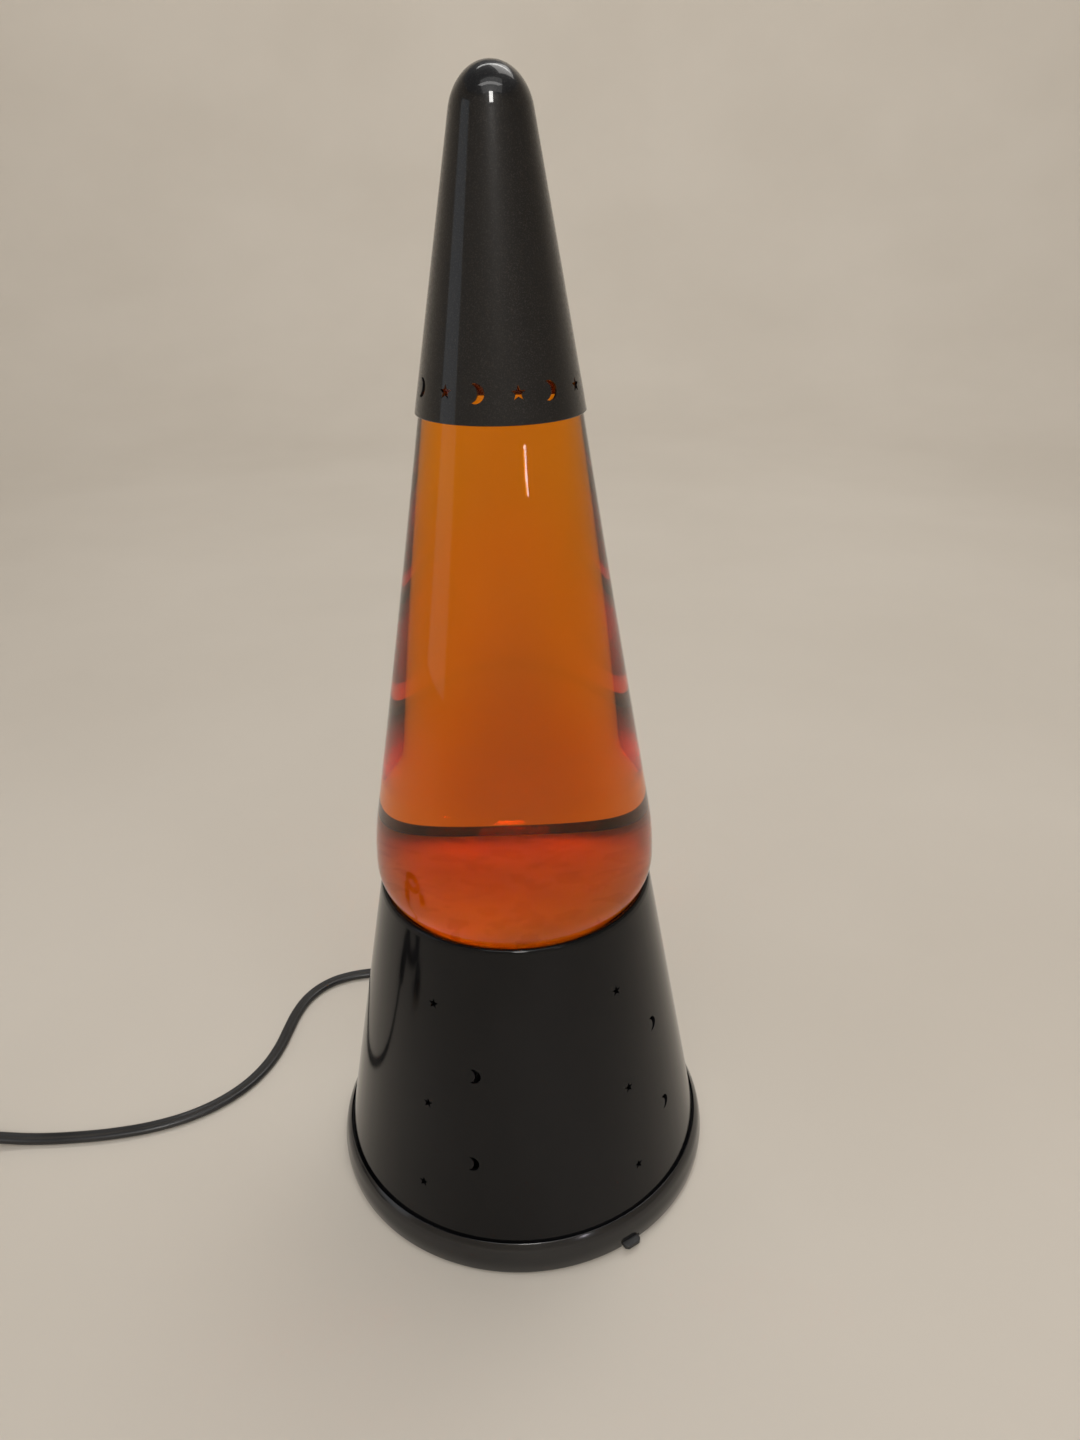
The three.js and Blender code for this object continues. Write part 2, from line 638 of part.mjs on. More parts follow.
function bulbGlass() {
  const ball = BULB_TOP_Z - BULB_RADIUS;
  const neckZ = BULB_CONTACT_Z + 27;
  const skin = (inset) => [
    [BULB_CAP_RADIUS - 1.8 - inset, neckZ - 1.2],
    [NECK_FLARE - inset, neckZ + 4],
    ...arc(0, ball, BULB_RADIUS - inset, -40, 90, 6).slice(0, -1),
    [0, BULB_TOP_Z - inset],
  ];
  return turned([...skin(0), ...skin(BULB_WALL).reverse()]);
}

function bulbStem() {
  const bottom = BULB_CONTACT_Z + 20;
  const post = (x) => box(0.9, 0.9, 12, x, 0, 67);
  return joined([
    turned([[0, bottom], [6, bottom], [6, bottom + 4], [3, 52], [3, 60], [5, 63], [0, 63]], 16),
    post(-4),
    post(4),
  ]);
}

// Fine wire that zigzags between the stem's two posts.
function bulbFilament() {
  const reach = [-6, -2.6, 0, 2.6, 6];
  const wire = new THREE.CatmullRomCurve3(reach.map((x, i) => new THREE.Vector3(x, i % 2 ? 1.5 : 0, 74.2)));
  return sweep(wire, roundSection(0.5, 6), 10);
}

// Aluminium screw cap of the bulb, open above for the glass neck and below for the insulator.
function bulbScrewCap() {
  const bottom = BULB_CONTACT_Z + 4.5;
  const top = BULB_CONTACT_Z + 25.5;
  const root = BULB_CAP_RADIUS - 0.7;
  return turned([
    [8.5, bottom],
    ...threadProfile(root, BULB_CAP_RADIUS, bottom + 3, BULB_THREADS),
    [BULB_CAP_RADIUS - 0.3, top],
    [root - 0.5, top],
    [root - 0.5, bottom + 3.4],
    [8, bottom + 0.5],
  ]);
}

function bulbInsulator() {
  const bottom = BULB_CONTACT_Z + 1.3;
  return turned([[0, bottom], [4.5, bottom], [7.7, bottom + 3], [7.7, bottom + 4.5], [0, bottom + 4.5]], 20);
}

function bulbContact() {
  const top = BULB_CONTACT_Z + 1;
  return turned([[0, BULB_CONTACT_Z], [3, BULB_CONTACT_Z + 0.4], [3.6, top], [0, top]], 16);
}

// ---------------------------------------------------------------- cord, switch and plug
function roundSection(radius, sides) {
  const shape = new THREE.Shape();
  for (let i = 0; i < sides; i++) {
    const angle = (i * 2 * Math.PI) / sides;
    if (i === 0) shape.moveTo(radius * Math.cos(angle), radius * Math.sin(angle));
    else shape.lineTo(radius * Math.cos(angle), radius * Math.sin(angle));
  }
  shape.closePath();
  return shape;
}

// An oval of eight sides; an extruded path turns its x upright and its y level.
function cordSection() {
  const shape = new THREE.Shape();
  const halfWidth = CORD_WIDTH / 2;
  const halfThickness = CORD_THICKNESS / 2;
  const corner = 0.55;
  shape.moveTo(halfThickness, halfWidth * corner);
  shape.lineTo(halfThickness * corner, halfWidth);
  shape.lineTo(-halfThickness * corner, halfWidth);
  shape.lineTo(-halfThickness, halfWidth * corner);
  shape.lineTo(-halfThickness, -halfWidth * corner);
  shape.lineTo(-halfThickness * corner, -halfWidth);
  shape.lineTo(halfThickness * corner, -halfWidth);
  shape.lineTo(halfThickness, -halfWidth * corner);
  return shape;
}

function sweep(path, shape, steps) {
  return new THREE.ExtrudeGeometry(shape, { steps, extrudePath: path, bevelEnabled: false });
}

function spline(points) {
  const knots = points.map(([x, y, z]) => new THREE.Vector3(x, y, z));
  return new THREE.CatmullRomCurve3(knots, false, 'centripetal');
}

// From the strain relief round behind the lamp's left side, then forward and away to the left.
const CORD_TO_SWITCH = [
  [-51.0, 88.4, 8],
  [-52.5, 91.0, 7.8],
  [-56.0, 95.6, 6.8],
  [-60.8, 99.2, 5.1],
  [-66.3, 101.5, 3.5],
  [-73.0, 102.4, 2.5],
  [-81.5, 102.1, 2.0],
  [-90.5, 100.4, CORD_FLOOR_Z],
  [-99.5, 96.8, CORD_FLOOR_Z],
  [-107.0, 90.6, CORD_FLOOR_Z],
  [-112.6, 82.0, CORD_FLOOR_Z],
  [-116.0, 71.8, CORD_FLOOR_Z],
  [-118.0, 61.0, CORD_FLOOR_Z],
  [-120.0, 49.5, CORD_FLOOR_Z],
  [-123.8, 37.5, CORD_FLOOR_Z],
  [-130.5, 25.5, CORD_FLOOR_Z],
  [-140.5, 15.0, CORD_FLOOR_Z],
  [-153.5, 6.8, CORD_FLOOR_Z],
  [-169.0, 1.3, CORD_FLOOR_Z],
  [-186.5, -1.8, CORD_FLOOR_Z],
  [-205.0, -3.0, CORD_FLOOR_Z],
  [-222.0, -3.0, 2.2],
  [-240.0, CORD_LINE_Y, 4.4],
  [SWITCH_START_X + GAP, CORD_LINE_Y, SWITCH_MIDDLE_Z],
];

const CORD_TO_COIL = [
  [SWITCH_END_X - GAP, CORD_LINE_Y, SWITCH_MIDDLE_Z],
  [SWITCH_END_X - 4, CORD_LINE_Y, SWITCH_MIDDLE_Z],
  [SWITCH_END_X - 9, CORD_LINE_Y, SWITCH_MIDDLE_Z],
];

// The cord leaves its coil's outermost turn straight towards the plug.
const CORD_TO_PLUG = [
  [COIL_CENTRE.x + 23, PLUG_Y, PLUG_MIDDLE_Z],
  [COIL_CENTRE.x + 30, PLUG_Y, PLUG_MIDDLE_Z],
  [COIL_CENTRE.x + 37, PLUG_Y, PLUG_MIDDLE_Z],
  [PLUG_BODY_START_X - GAP, PLUG_Y, PLUG_MIDDLE_Z],
];

function strainRelief() {
  const profile = [
    [0, 70],
    [4.2, 70],
    [4.9, 71.6],
    [4.9, FOOT_RADIUS + 0.6],
    [5.7, FOOT_RADIUS + 0.6],
    [5.7, FOOT_RADIUS + 2.2],
    [5, FOOT_RADIUS + 2.6],
    [3.9, GLAND_TIP],
    [0, GLAND_TIP],
  ];
  return glandPlace(turned(profile, 20).scale(1, 0.72, 1));
}

function leadWire(side) {
  const across = sideways(-GLAND_ANGLE).multiplyScalar(-side * 1.7);
  const start = outward(-GLAND_ANGLE).multiplyScalar(70 - GAP).add(across).setZ(GLAND_Z);
  const bend = outward(-GLAND_ANGLE).multiplyScalar(48).addScaledVector(across, 2.4).setZ(GLAND_Z - 1.4);
  const reach = new THREE.Vector3(side * 15, 14, 5.9);
  const end = new THREE.Vector3(side * (TERMINAL_X + 2), 5, 5.7);
  return sweep(new THREE.CatmullRomCurve3([start, bend, reach, end]), roundSection(1.1, 8), 12);
}

// One half of the switch's case: a slab with round corners, and the wheel's well and the screw's hole in it.
function switchHalf(bottom, top) {
  const length = SWITCH_LENGTH / 2 - SWITCH_CORNER;
  const width = SWITCH_WIDTH / 2 - SWITCH_CORNER;
  const quarter = Math.PI / 2;
  const outline = new THREE.Shape();
  outline.absarc(length, -width, SWITCH_CORNER, -quarter, 0, false);
  outline.absarc(length, width, SWITCH_CORNER, 0, quarter, false);
  outline.absarc(-length, width, SWITCH_CORNER, quarter, 2 * quarter, false);
  outline.absarc(-length, -width, SWITCH_CORNER, 2 * quarter, 3 * quarter, false);
  const depth = top - bottom;
  const slab = new THREE.ExtrudeGeometry(outline, { depth, bevelEnabled: false, curveSegments: 3 })
    .translate(SWITCH_CENTRE_X, CORD_LINE_Y, bottom);
  const wellHalf = WHEEL_HALF + GAP;
  const well = cylinder(WHEEL_RADIUS + 0.6, SWITCH_MIDDLE_Z - wellHalf, SWITCH_MIDDLE_Z + wellHalf, 24)
    .translate(SWITCH_CENTRE_X, WHEEL_Y, 0);
  const screwHole = cylinder(1.7, -1, SWITCH_HEIGHT + 1, 12).translate(SWITCH_CENTRE_X, SWITCH_SCREW_Y, 0);
  const counterbore = cylinder(2.9, SWITCH_HEIGHT - 2, SWITCH_HEIGHT + 1, 12)
    .translate(SWITCH_CENTRE_X, SWITCH_SCREW_Y, 0);
  return cut(slab, [well, screwHole, counterbore]);
}

function switchScrew() {
  const head = SWITCH_HEIGHT - 2 + GAP;
  const top = head + 1.2;
  const screw = turned([[0, 1.5], [1.3, 1.5], [1.3, head], [2.5, head], [2.5, top], [0, top]], 12);
  return cut(screw, [box(6, 0.8, 1, 0, 0, top)]).translate(SWITCH_CENTRE_X, SWITCH_SCREW_Y, 0);
}

// Knurled wheel that stands out of the switch's side.
function switchWheel() {
  const shape = new THREE.Shape();
  for (let i = 0; i < WHEEL_TEETH * 2; i++) {
    const r = i % 2 ? WHEEL_RADIUS : WHEEL_RADIUS - 0.5;
    const angle = (i * Math.PI) / WHEEL_TEETH;
    if (i === 0) shape.moveTo(r * Math.cos(angle), r * Math.sin(angle));
    else shape.lineTo(r * Math.cos(angle), r * Math.sin(angle));
  }
  shape.closePath();
  return new THREE.ExtrudeGeometry(shape, { depth: 2 * WHEEL_HALF, bevelEnabled: false })
    .translate(SWITCH_CENTRE_X, WHEEL_Y, SWITCH_MIDDLE_Z - WHEEL_HALF);
}

function cordCoil() {
  const half = COIL_BAND / 2;
  const top = COIL_BOTTOM_Z + COIL_HEIGHT;
  const bevel = 2;
  return turned([
    [COIL_MEAN_RADIUS - half, COIL_BOTTOM_Z + bevel],
    [COIL_MEAN_RADIUS - half + bevel, COIL_BOTTOM_Z],
    [COIL_MEAN_RADIUS + half - bevel, COIL_BOTTOM_Z],
    [COIL_MEAN_RADIUS + half, COIL_BOTTOM_Z + bevel],
    [COIL_MEAN_RADIUS + half, top - bevel],
    [COIL_MEAN_RADIUS + half - bevel, top],
    [COIL_MEAN_RADIUS - half + bevel, top],
    [COIL_MEAN_RADIUS - half, top - bevel],
  ], 36).translate(COIL_CENTRE.x, COIL_CENTRE.y, 0);
}

// The outline of the coil's section, upright, larger all round by an amount.
function coilOutline(grow) {
  const shape = new THREE.Shape();
  const half = COIL_BAND / 2 + grow;
  const bevel = 2;
  const low = COIL_BOTTOM_Z - grow;
  const high = COIL_BOTTOM_Z + COIL_HEIGHT + grow;
  shape.moveTo(-half, low + bevel);
  shape.lineTo(-half + bevel, low);
  shape.lineTo(half - bevel, low);
  shape.lineTo(half, low + bevel);
  shape.lineTo(half, high - bevel);
  shape.lineTo(half - bevel, high);
  shape.lineTo(-half + bevel, high);
  shape.lineTo(-half, high - bevel);
  shape.closePath();
  return shape;
}

// Strip wound once round the coil's turns.
function cordTie() {
  const band = coilOutline(GAP + TIE_THICKNESS);
  band.holes.push(coilOutline(GAP));
  return new THREE.ExtrudeGeometry(band, { depth: TIE_WIDTH, bevelEnabled: false })
    .translate(0, 0, -TIE_WIDTH / 2)
    .rotateX(Math.PI / 2)
    .translate(COIL_MEAN_RADIUS, 0, 0)
    .rotateZ(radians(TIE_ANGLE))
    .translate(COIL_CENTRE.x, COIL_CENTRE.y, 0);
}

// Moulded two-blade plug, lying flat with its blades side by side.
function plugBody() {
  const half = PLUG_WIDTH / 2;
  const end = PLUG_LENGTH;
  const outline = new THREE.Shape();
  outline.moveTo(0, -5);
  outline.lineTo(8, -7);
  outline.lineTo(14, -half);
  outline.lineTo(end, -half);
  outline.lineTo(end, half);
  outline.lineTo(14, half);
  outline.lineTo(8, 7);
  outline.lineTo(0, 5);
  outline.closePath();
  const bevel = 1.5;
  return new THREE.ExtrudeGeometry(outline, {
    depth: PLUG_HEIGHT - 2 * bevel,
    bevelThickness: bevel,
    bevelSize: bevel,
    bevelOffset: -bevel,
    bevelSegments: 2,
  }).translate(PLUG_BODY_START_X, PLUG_Y, bevel);
}

function plugBlade(side, width) {
  const start = PLUG_BODY_START_X + PLUG_LENGTH + GAP;
  const y = PLUG_Y + (side * BLADE_SPACING) / 2;
  const blade = box(BLADE_LENGTH, BLADE_THICKNESS, width, start + BLADE_LENGTH / 2, y, PLUG_MIDDLE_Z);
  const hole = new THREE.CylinderGeometry(1.6, 1.6, 6, 12)
    .translate(start + BLADE_LENGTH - 4, y, PLUG_MIDDLE_Z);
  return cut(blade, [hole]);
}

// ---------------------------------------------------------------- assembly
const BLACK = 0x0b0b0c;
const STEEL = 0x9a9a98;
const BRASS = 0xb08a3e;
const PVC = 0x131313;

add('cap_shell', capShell(), 0x26262a, 0.42, 0.6);
add('globe_bottle', globeBottle(), 0xe8f0ec, 0.03);
add('lava_liquid', liquidBody(), 0xe07800, 0.05);
add('wax', waxBody(), 0xc84a08, 0.5);
add('heating_coil', heaterCoil(), STEEL, 0.3, 1);
add('crown_cap', crownCap(), 0xb9bbbd, 0.3, 1);
add('crown_gasket', cylinder(12.4, NECK_TOP_Z + GAP, NECK_TOP_Z + 0.8), 0xd8d4c8, 0.8);

add('base_shell', baseShell(), BLACK, 0.15, 0.3);
add('foot_ring', footRing(), BLACK, 0.2);
add('bottom_cover', bottomCover(), 0x141414, 0.5);
FEET_ANGLES.forEach((angle, i) => add(`rubber_foot_${i + 1}`, rubberFoot(angle), 0x1c1c1c, 0.9));
SCREW_ANGLES.forEach((angle, i) => add(`cover_screw_${i + 1}`, coverScrew(angle), STEEL, 0.35, 1));

add('socket_bracket', socketBracket(), STEEL, 0.4, 1);
[-1, 1].forEach((side, i) => add(`bracket_rivet_${i + 1}`, bracketRivet(side), STEEL, 0.35, 1));
add('socket_housing', socketHousing(), 0x1a1512, 0.45);
add('socket_screw_shell', socketSleeve(), BRASS, 0.35, 1);
add('socket_centre_contact', centreContact(), BRASS, 0.35, 1);
[-1, 1].forEach((side, i) => add(`terminal_screw_${i + 1}`, terminalScrew(side), BRASS, 0.35, 1));
[-1, 1].forEach((side, i) => add(`lead_wire_${i + 1}`, leadWire(side), i ? 0xdedede : PVC, 0.6));

add('bulb_glass', bulbGlass(), 0xf4f4f2, 0.05);
add('bulb_stem', bulbStem(), 0xdfe6e6, 0.1);
add('bulb_filament', bulbFilament(), 0x6f6f70, 0.4, 1);
add('bulb_screw_cap', bulbScrewCap(), 0xb9bbbd, 0.3, 1);
add('bulb_insulator', bulbInsulator(), 0x0e0e12, 0.2);
add('bulb_contact', bulbContact(), 0xb4b4b2, 0.4, 1);

add('strain_relief', strainRelief(), PVC, 0.6);
add('cord_to_switch', sweep(spline(CORD_TO_SWITCH), cordSection(), 40), PVC, 0.55);
add('switch_case_lower', switchHalf(0, SWITCH_MIDDLE_Z - GAP / 2), PVC, 0.45);
add('switch_case_upper', switchHalf(SWITCH_MIDDLE_Z + GAP / 2, SWITCH_HEIGHT), PVC, 0.45);
add('switch_wheel', switchWheel(), 0x202020, 0.5);
add('switch_screw', switchScrew(), STEEL, 0.35, 1);
add('cord_to_coil', sweep(spline(CORD_TO_COIL), cordSection(), 4), PVC, 0.55);
add('cord_coil', cordCoil(), PVC, 0.55);
add('cord_tie', cordTie(), 0x101010, 0.7);
add('cord_to_plug', sweep(spline(CORD_TO_PLUG), cordSection(), 4), PVC, 0.55);
add('plug_body', plugBody(), PVC, 0.45);
add('plug_blade_narrow', plugBlade(-1, 6.3), BRASS, 0.3, 1);
add('plug_blade_wide', plugBlade(1, 7.9), BRASS, 0.3, 1);

export default lamp;
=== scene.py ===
"""A lava lamp, switched off and cold: glass globe of orange liquid over wax, pierced cap, pierced conical
base with its bulb and socket, and a flat two-core cord with an inline switch, a coil and a plug.

Profiles are (radius, height) pairs in millimetres, about the lamp's axis; objects are made in metres.
"""

import math

import bmesh
import bpy
from mathutils import Matrix, Vector


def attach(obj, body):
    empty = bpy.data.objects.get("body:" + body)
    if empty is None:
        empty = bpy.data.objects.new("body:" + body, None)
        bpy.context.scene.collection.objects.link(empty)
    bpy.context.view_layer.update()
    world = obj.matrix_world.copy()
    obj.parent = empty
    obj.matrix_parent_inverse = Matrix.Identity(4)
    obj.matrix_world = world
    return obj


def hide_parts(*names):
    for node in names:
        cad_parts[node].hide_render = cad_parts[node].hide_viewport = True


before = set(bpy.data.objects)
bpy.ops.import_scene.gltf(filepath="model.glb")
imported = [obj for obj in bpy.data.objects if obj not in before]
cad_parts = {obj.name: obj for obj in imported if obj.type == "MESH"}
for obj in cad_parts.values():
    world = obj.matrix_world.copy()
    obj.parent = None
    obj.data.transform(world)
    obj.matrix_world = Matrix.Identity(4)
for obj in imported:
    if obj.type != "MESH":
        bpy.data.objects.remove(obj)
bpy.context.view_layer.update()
scene = bpy.context.scene

MM = 0.001
FRONT = -math.pi / 2  # angle of the front, -Y, from +X

# ---------------------------------------------------------------- sizes, as in the CAD
GAP = 0.3
LAMP_TOP = 413.3
FOOT_RADIUS = 80.0
CONE_TAPER = 0.1835
BASE_RIM_Z = 137.9
BASE_RIM_RADIUS = 53.3
BASE_BOTTOM_Z = 13.4
SHEET = 1.2
HEM_RADIUS = 1.2

GLOBE_WIDEST_Z = 148.0
GLOBE_WIDEST_RADIUS = 54.2
GLOBE_TAPER = 0.18
GLOBE_FLARE = 4.75e-5
GLOBE_CONE_Z = 168.0
GLOBE_HEEL_RADIUS = 17.0
GLOBE_HEEL_TURN = 38
GLOBE_FLOOR_Z = 112.0
GLASS = 2.2
SHOULDER = (22.4, 336.0)
SHOULDER_START = (22.9, 333.0)
GLOBE_WALL_TOP = 330.0
NECK_RADIUS = 12.6
NECK_TOP_Z = 364.0
WAX_TOP_Z = 136.1  # 0.5 under the CAD's, to bring the dark band lower
LIQUID_TOP_Z = 341.8
HEATER_RING = 20.0
HEATER_Z = GLOBE_FLOOR_Z + GLASS + GAP + 2.4

CAP_RIM_Z = 316.0
CAP_RIM_RADIUS = 28.0
CAP_TAPER = 0.181
CAP_SHEET = 0.9
CAP_NOSE_STRETCH = 1.2

STAR_RADIUS = 2.4
BASE_STAR_RADIUS = 2.2
MOON_RADIUS = 3.0
CAP_PUNCH_Z = 325.3
CAP_PUNCHES = 7
CAP_MOON_START = -17
CAP_STAR_START = 12
BASE_COLUMNS = 5
BASE_STAR_START = 38.5
BASE_MOON_START = -17
BASE_STAR_HEIGHTS = (32.4, 68.6, 111.5)
BASE_MOON_HEIGHTS = (48.0, 86.0)

COVER_RADIUS = 72.2
COVER_BOTTOM_Z = 2.0
COVER_TOP_Z = 4.0
TAB_ANGLE = 31
TAB_WIDTH = 7.5
SCREW_CIRCLE = 65.5
SCREW_ANGLES = (60, 180, 300)
FEET_CIRCLE = 60.0
FEET_ANGLES = (45, 135, 225, 315)
RING_BOTTOM_Z = 1.5
RING_INNER = COVER_RADIUS + 0.4
LEDGE_Z = BASE_BOTTOM_Z - GAP

SOCKET_RADIUS = 17.0
SOCKET_WALL = 2.6
SOCKET_BOTTOM_Z = 9.0
SOCKET_TOP_Z = 38.0
SLEEVE_OUTER = SOCKET_RADIUS - SOCKET_WALL - GAP
FLANGE_Z = 31.5
BRACKET_FOOT = 34.0
TERMINAL_X = 8.0
THREAD_PITCH = 3.63
BULB_RADIUS = 24.0
BULB_CONTACT_Z = 13.0
BULB_TOP_Z = 99.0
BULB_CAP_RADIUS = 12.8

CORD_WIDTH = 5.8
CORD_THICKNESS = 3.0
CORD_LINE_Y = -3.0
GLAND_ANGLE = -150
GLAND_Z = 8.0
GLAND_TIP = 101.6
SWITCH_START_X = -258.0
SWITCH_LENGTH = 46.0
SWITCH_END_X = SWITCH_START_X - SWITCH_LENGTH
SWITCH_CENTRE_X = (SWITCH_START_X + SWITCH_END_X) / 2
SWITCH_WIDTH = 21.0
SWITCH_HEIGHT = 13.0
SWITCH_MIDDLE_Z = SWITCH_HEIGHT / 2
SWITCH_SCREW_Y = CORD_LINE_Y + 7.2
WHEEL_RADIUS = 8.6
WHEEL_HALF = 2.1
WHEEL_Y = CORD_LINE_Y - 4.6
COIL_X, COIL_Y = -336.0, -41.0
COIL_MEAN_RADIUS = 32.0
COIL_STEP = 6.0  # between turns side by side
COIL_LEVELS = (2.6, 5.9, 9.1)
TIE_ANGLE = 200
OUTER_TURN = COIL_MEAN_RADIUS + COIL_STEP
PLUG_Y = COIL_Y - OUTER_TURN
PLUG_START_X = -292.0
PLUG_LENGTH = 30.0
PLUG_WIDTH = 24.0
PLUG_HEIGHT = 14.0
BLADE_SPACING = 12.7
BLADE_LENGTH = 17.0


# ---------------------------------------------------------------- camera
def make_camera():
    """The photograph's viewing angle: above the front, looking down, with a slight roll."""
    distance, height = 348.3 * MM, 375.8 * MM
    pan, pitch, roll = math.radians(-1.79), math.radians(26.36), math.radians(-1.07)
    long_side_pixels, focal_pixels, sensor = 1440, 1040, 36.0
    turn = Matrix.Rotation(pan, 4, "Z") @ Matrix.Rotation(math.pi / 2 - pitch, 4, "X")
    turn = turn @ Matrix.Rotation(roll, 4, "Z")
    data = bpy.data.cameras.new("camera")
    data.sensor_width = sensor
    data.lens = focal_pixels / long_side_pixels * sensor
    data.clip_start = 0.01
    camera = bpy.data.objects.new("camera", data)
    camera.matrix_world = Matrix.Translation((0, -distance, height)) @ turn
    scene.collection.objects.link(camera)
    scene.camera = camera


make_camera()


# ---------------------------------------------------------------- mesh helpers
def polar(radius, angle):
    return radius * math.cos(angle), radius * math.sin(angle)


def circle(radius, count):
    return [polar(radius, 2 * math.pi * i / count) for i in range(count)]


def at(x, y, z=0.0):
    return Matrix.Translation((x, y, z))


def outward(angle):
    """The level direction at an angle in degrees from the front, towards +X."""
    return Vector((math.cos(FRONT + math.radians(angle)), math.sin(FRONT + math.radians(angle)), 0))


def sideways(angle):
    return outward(angle + 90)


def linked(name, mesh):
    piece = bpy.data.objects.new(name, mesh)
    scene.collection.objects.link(piece)
    return piece


def mesh_piece(name, points, faces, sharp=35):
    """A smooth-shaded object from points in millimetres, creased where faces meet at a sharp angle."""
    mesh = bpy.data.meshes.new(name)
    mesh.from_pydata([Vector(p) * MM for p in points], [], faces)
    shade(mesh, sharp)
    return linked(name, mesh)


def shade(mesh, sharp=35):
    mesh.shade_smooth()
    mesh.set_sharp_from_angle(angle=math.radians(sharp))


def arc(centre, radius, start, end, steps):
    """Profile points along an arc, angles in degrees from the outward radius."""
    angles = (math.radians(start + (end - start) * i / steps) for i in range(steps + 1))
    return [(centre[0] + radius * math.cos(a), centre[1] + radius * math.sin(a)) for a in angles]


def rounded(profile, radius, steps=4, closed=True):
    """The profile with its corners off the axis rounded; a third value is a point's own radius."""
    result = []
    count = len(profile)
    for i, corner in enumerate(profile):
        size = corner[2] if len(corner) > 2 else radius
        here = Vector(corner[:2])
        if size == 0 or here.x == 0 or (not closed and i in (0, count - 1)):
            result.append((here.x, here.y))
            continue
        before = Vector(profile[i - 1][:2]) - here
        after = Vector(profile[(i + 1) % count][:2]) - here
        reach = min(size, before.length * 0.45, after.length * 0.45)
        start, end = here + before.normalized() * reach, here + after.normalized() * reach
        for step in range(steps + 1):
            t = step / steps
            point = start * (1 - t) ** 2 + here * 2 * t * (1 - t) + end * t**2
            result.append((point.x, point.y))
    return result


def revolve(name, profile, segments=96, place=None, sharp=35):
    """A closed solid of revolution about +Z; the profile runs up the outside and down the inside."""
    points, rings = [], []
    for radius, height in profile:
        if radius < 1e-6:
            rings.append([len(points)] * segments)
            points.append(Vector((0, 0, height)))
            continue
        rings.append([len(points) + i for i in range(segments)])
        for i in range(segments):
            points.append(Vector((*polar(radius, 2 * math.pi * i / segments), height)))
    pairs = list(zip(rings, rings[1:]))
    if profile[0][0] > 1e-6:
        pairs.append((rings[-1], rings[0]))
    faces = []
    for low, high in pairs:
        for i in range(segments):
            j = (i + 1) % segments
            corners = [low[i], low[j], high[j], high[i]]
            face = [c for k, c in enumerate(corners) if c != corners[k - 1]]
            if len(face) > 2:
                faces.append(face)
    if place is not None:
        points = [place @ p for p in points]
    return mesh_piece(name, points, faces, sharp)


def prism(name, outline, bottom, top, place=None, sharp=35):
    """A flat outline, anticlockwise, drawn out between two heights."""
    count = len(outline)
    points = [Vector((x, y, bottom)) for x, y in outline] + [Vector((x, y, top)) for x, y in outline]
    faces = [list(range(count))[::-1], list(range(count, 2 * count))]
    faces += [[i, (i + 1) % count, count + (i + 1) % count, count + i] for i in range(count)]
    if place is not None:
        points = [place @ p for p in points]
    return mesh_piece(name, points, faces, sharp)


def block(name, low, high, place=None):
    outline = [(low[0], low[1]), (high[0], low[1]), (high[0], high[1]), (low[0], high[1])]
    return prism(name, outline, low[2], high[2], place)


def rod(radius, low, high, segments, place=None):
    return revolve("rod", [(0, low), (radius, low), (radius, high), (0, high)], segments, place)


def spin(angle):
    """Turns a piece made at the front round the axis, in degrees towards +X."""
    return Matrix.Rotation(math.radians(angle), 4, "Z")


def joined(pieces, name):
    """One object holding all the pieces' faces, which don't touch."""
    mesh = bpy.data.meshes.new(name)
    union = bmesh.new()
    for piece in pieces:
        union.from_mesh(piece.data)
        bpy.data.objects.remove(piece)
    union.to_mesh(mesh)
    union.free()
    return linked(name, mesh)


def applied(piece, sharp=35):
    """The piece with its modifiers baked into a new mesh."""
    evaluated = piece.evaluated_get(bpy.context.evaluated_depsgraph_get())
    mesh = bpy.data.meshes.new_from_object(evaluated)
    piece.modifiers.clear()
    piece.data = mesh
    shade(mesh, sharp)
    return piece


def combined(piece, others, operation):
    tool = joined(others, piece.name + "_tool")
    modifier = piece.modifiers.new("cut", "BOOLEAN")
    modifier.operation = operation
    modifier.solver = "EXACT"
    modifier.object = tool
    applied(piece)
    bpy.data.objects.remove(tool)
    return piece


def cut(piece, cutters):
    return combined(piece, cutters, "DIFFERENCE")


def bevelled(piece, width, steps=3, angle=30):
    modifier = piece.modifiers.new("bevel", "BEVEL")
    modifier.width = width * MM
    modifier.segments = steps
    modifier.limit_method = "ANGLE"
    modifier.angle_limit = math.radians(angle)
    return applied(piece, 50)


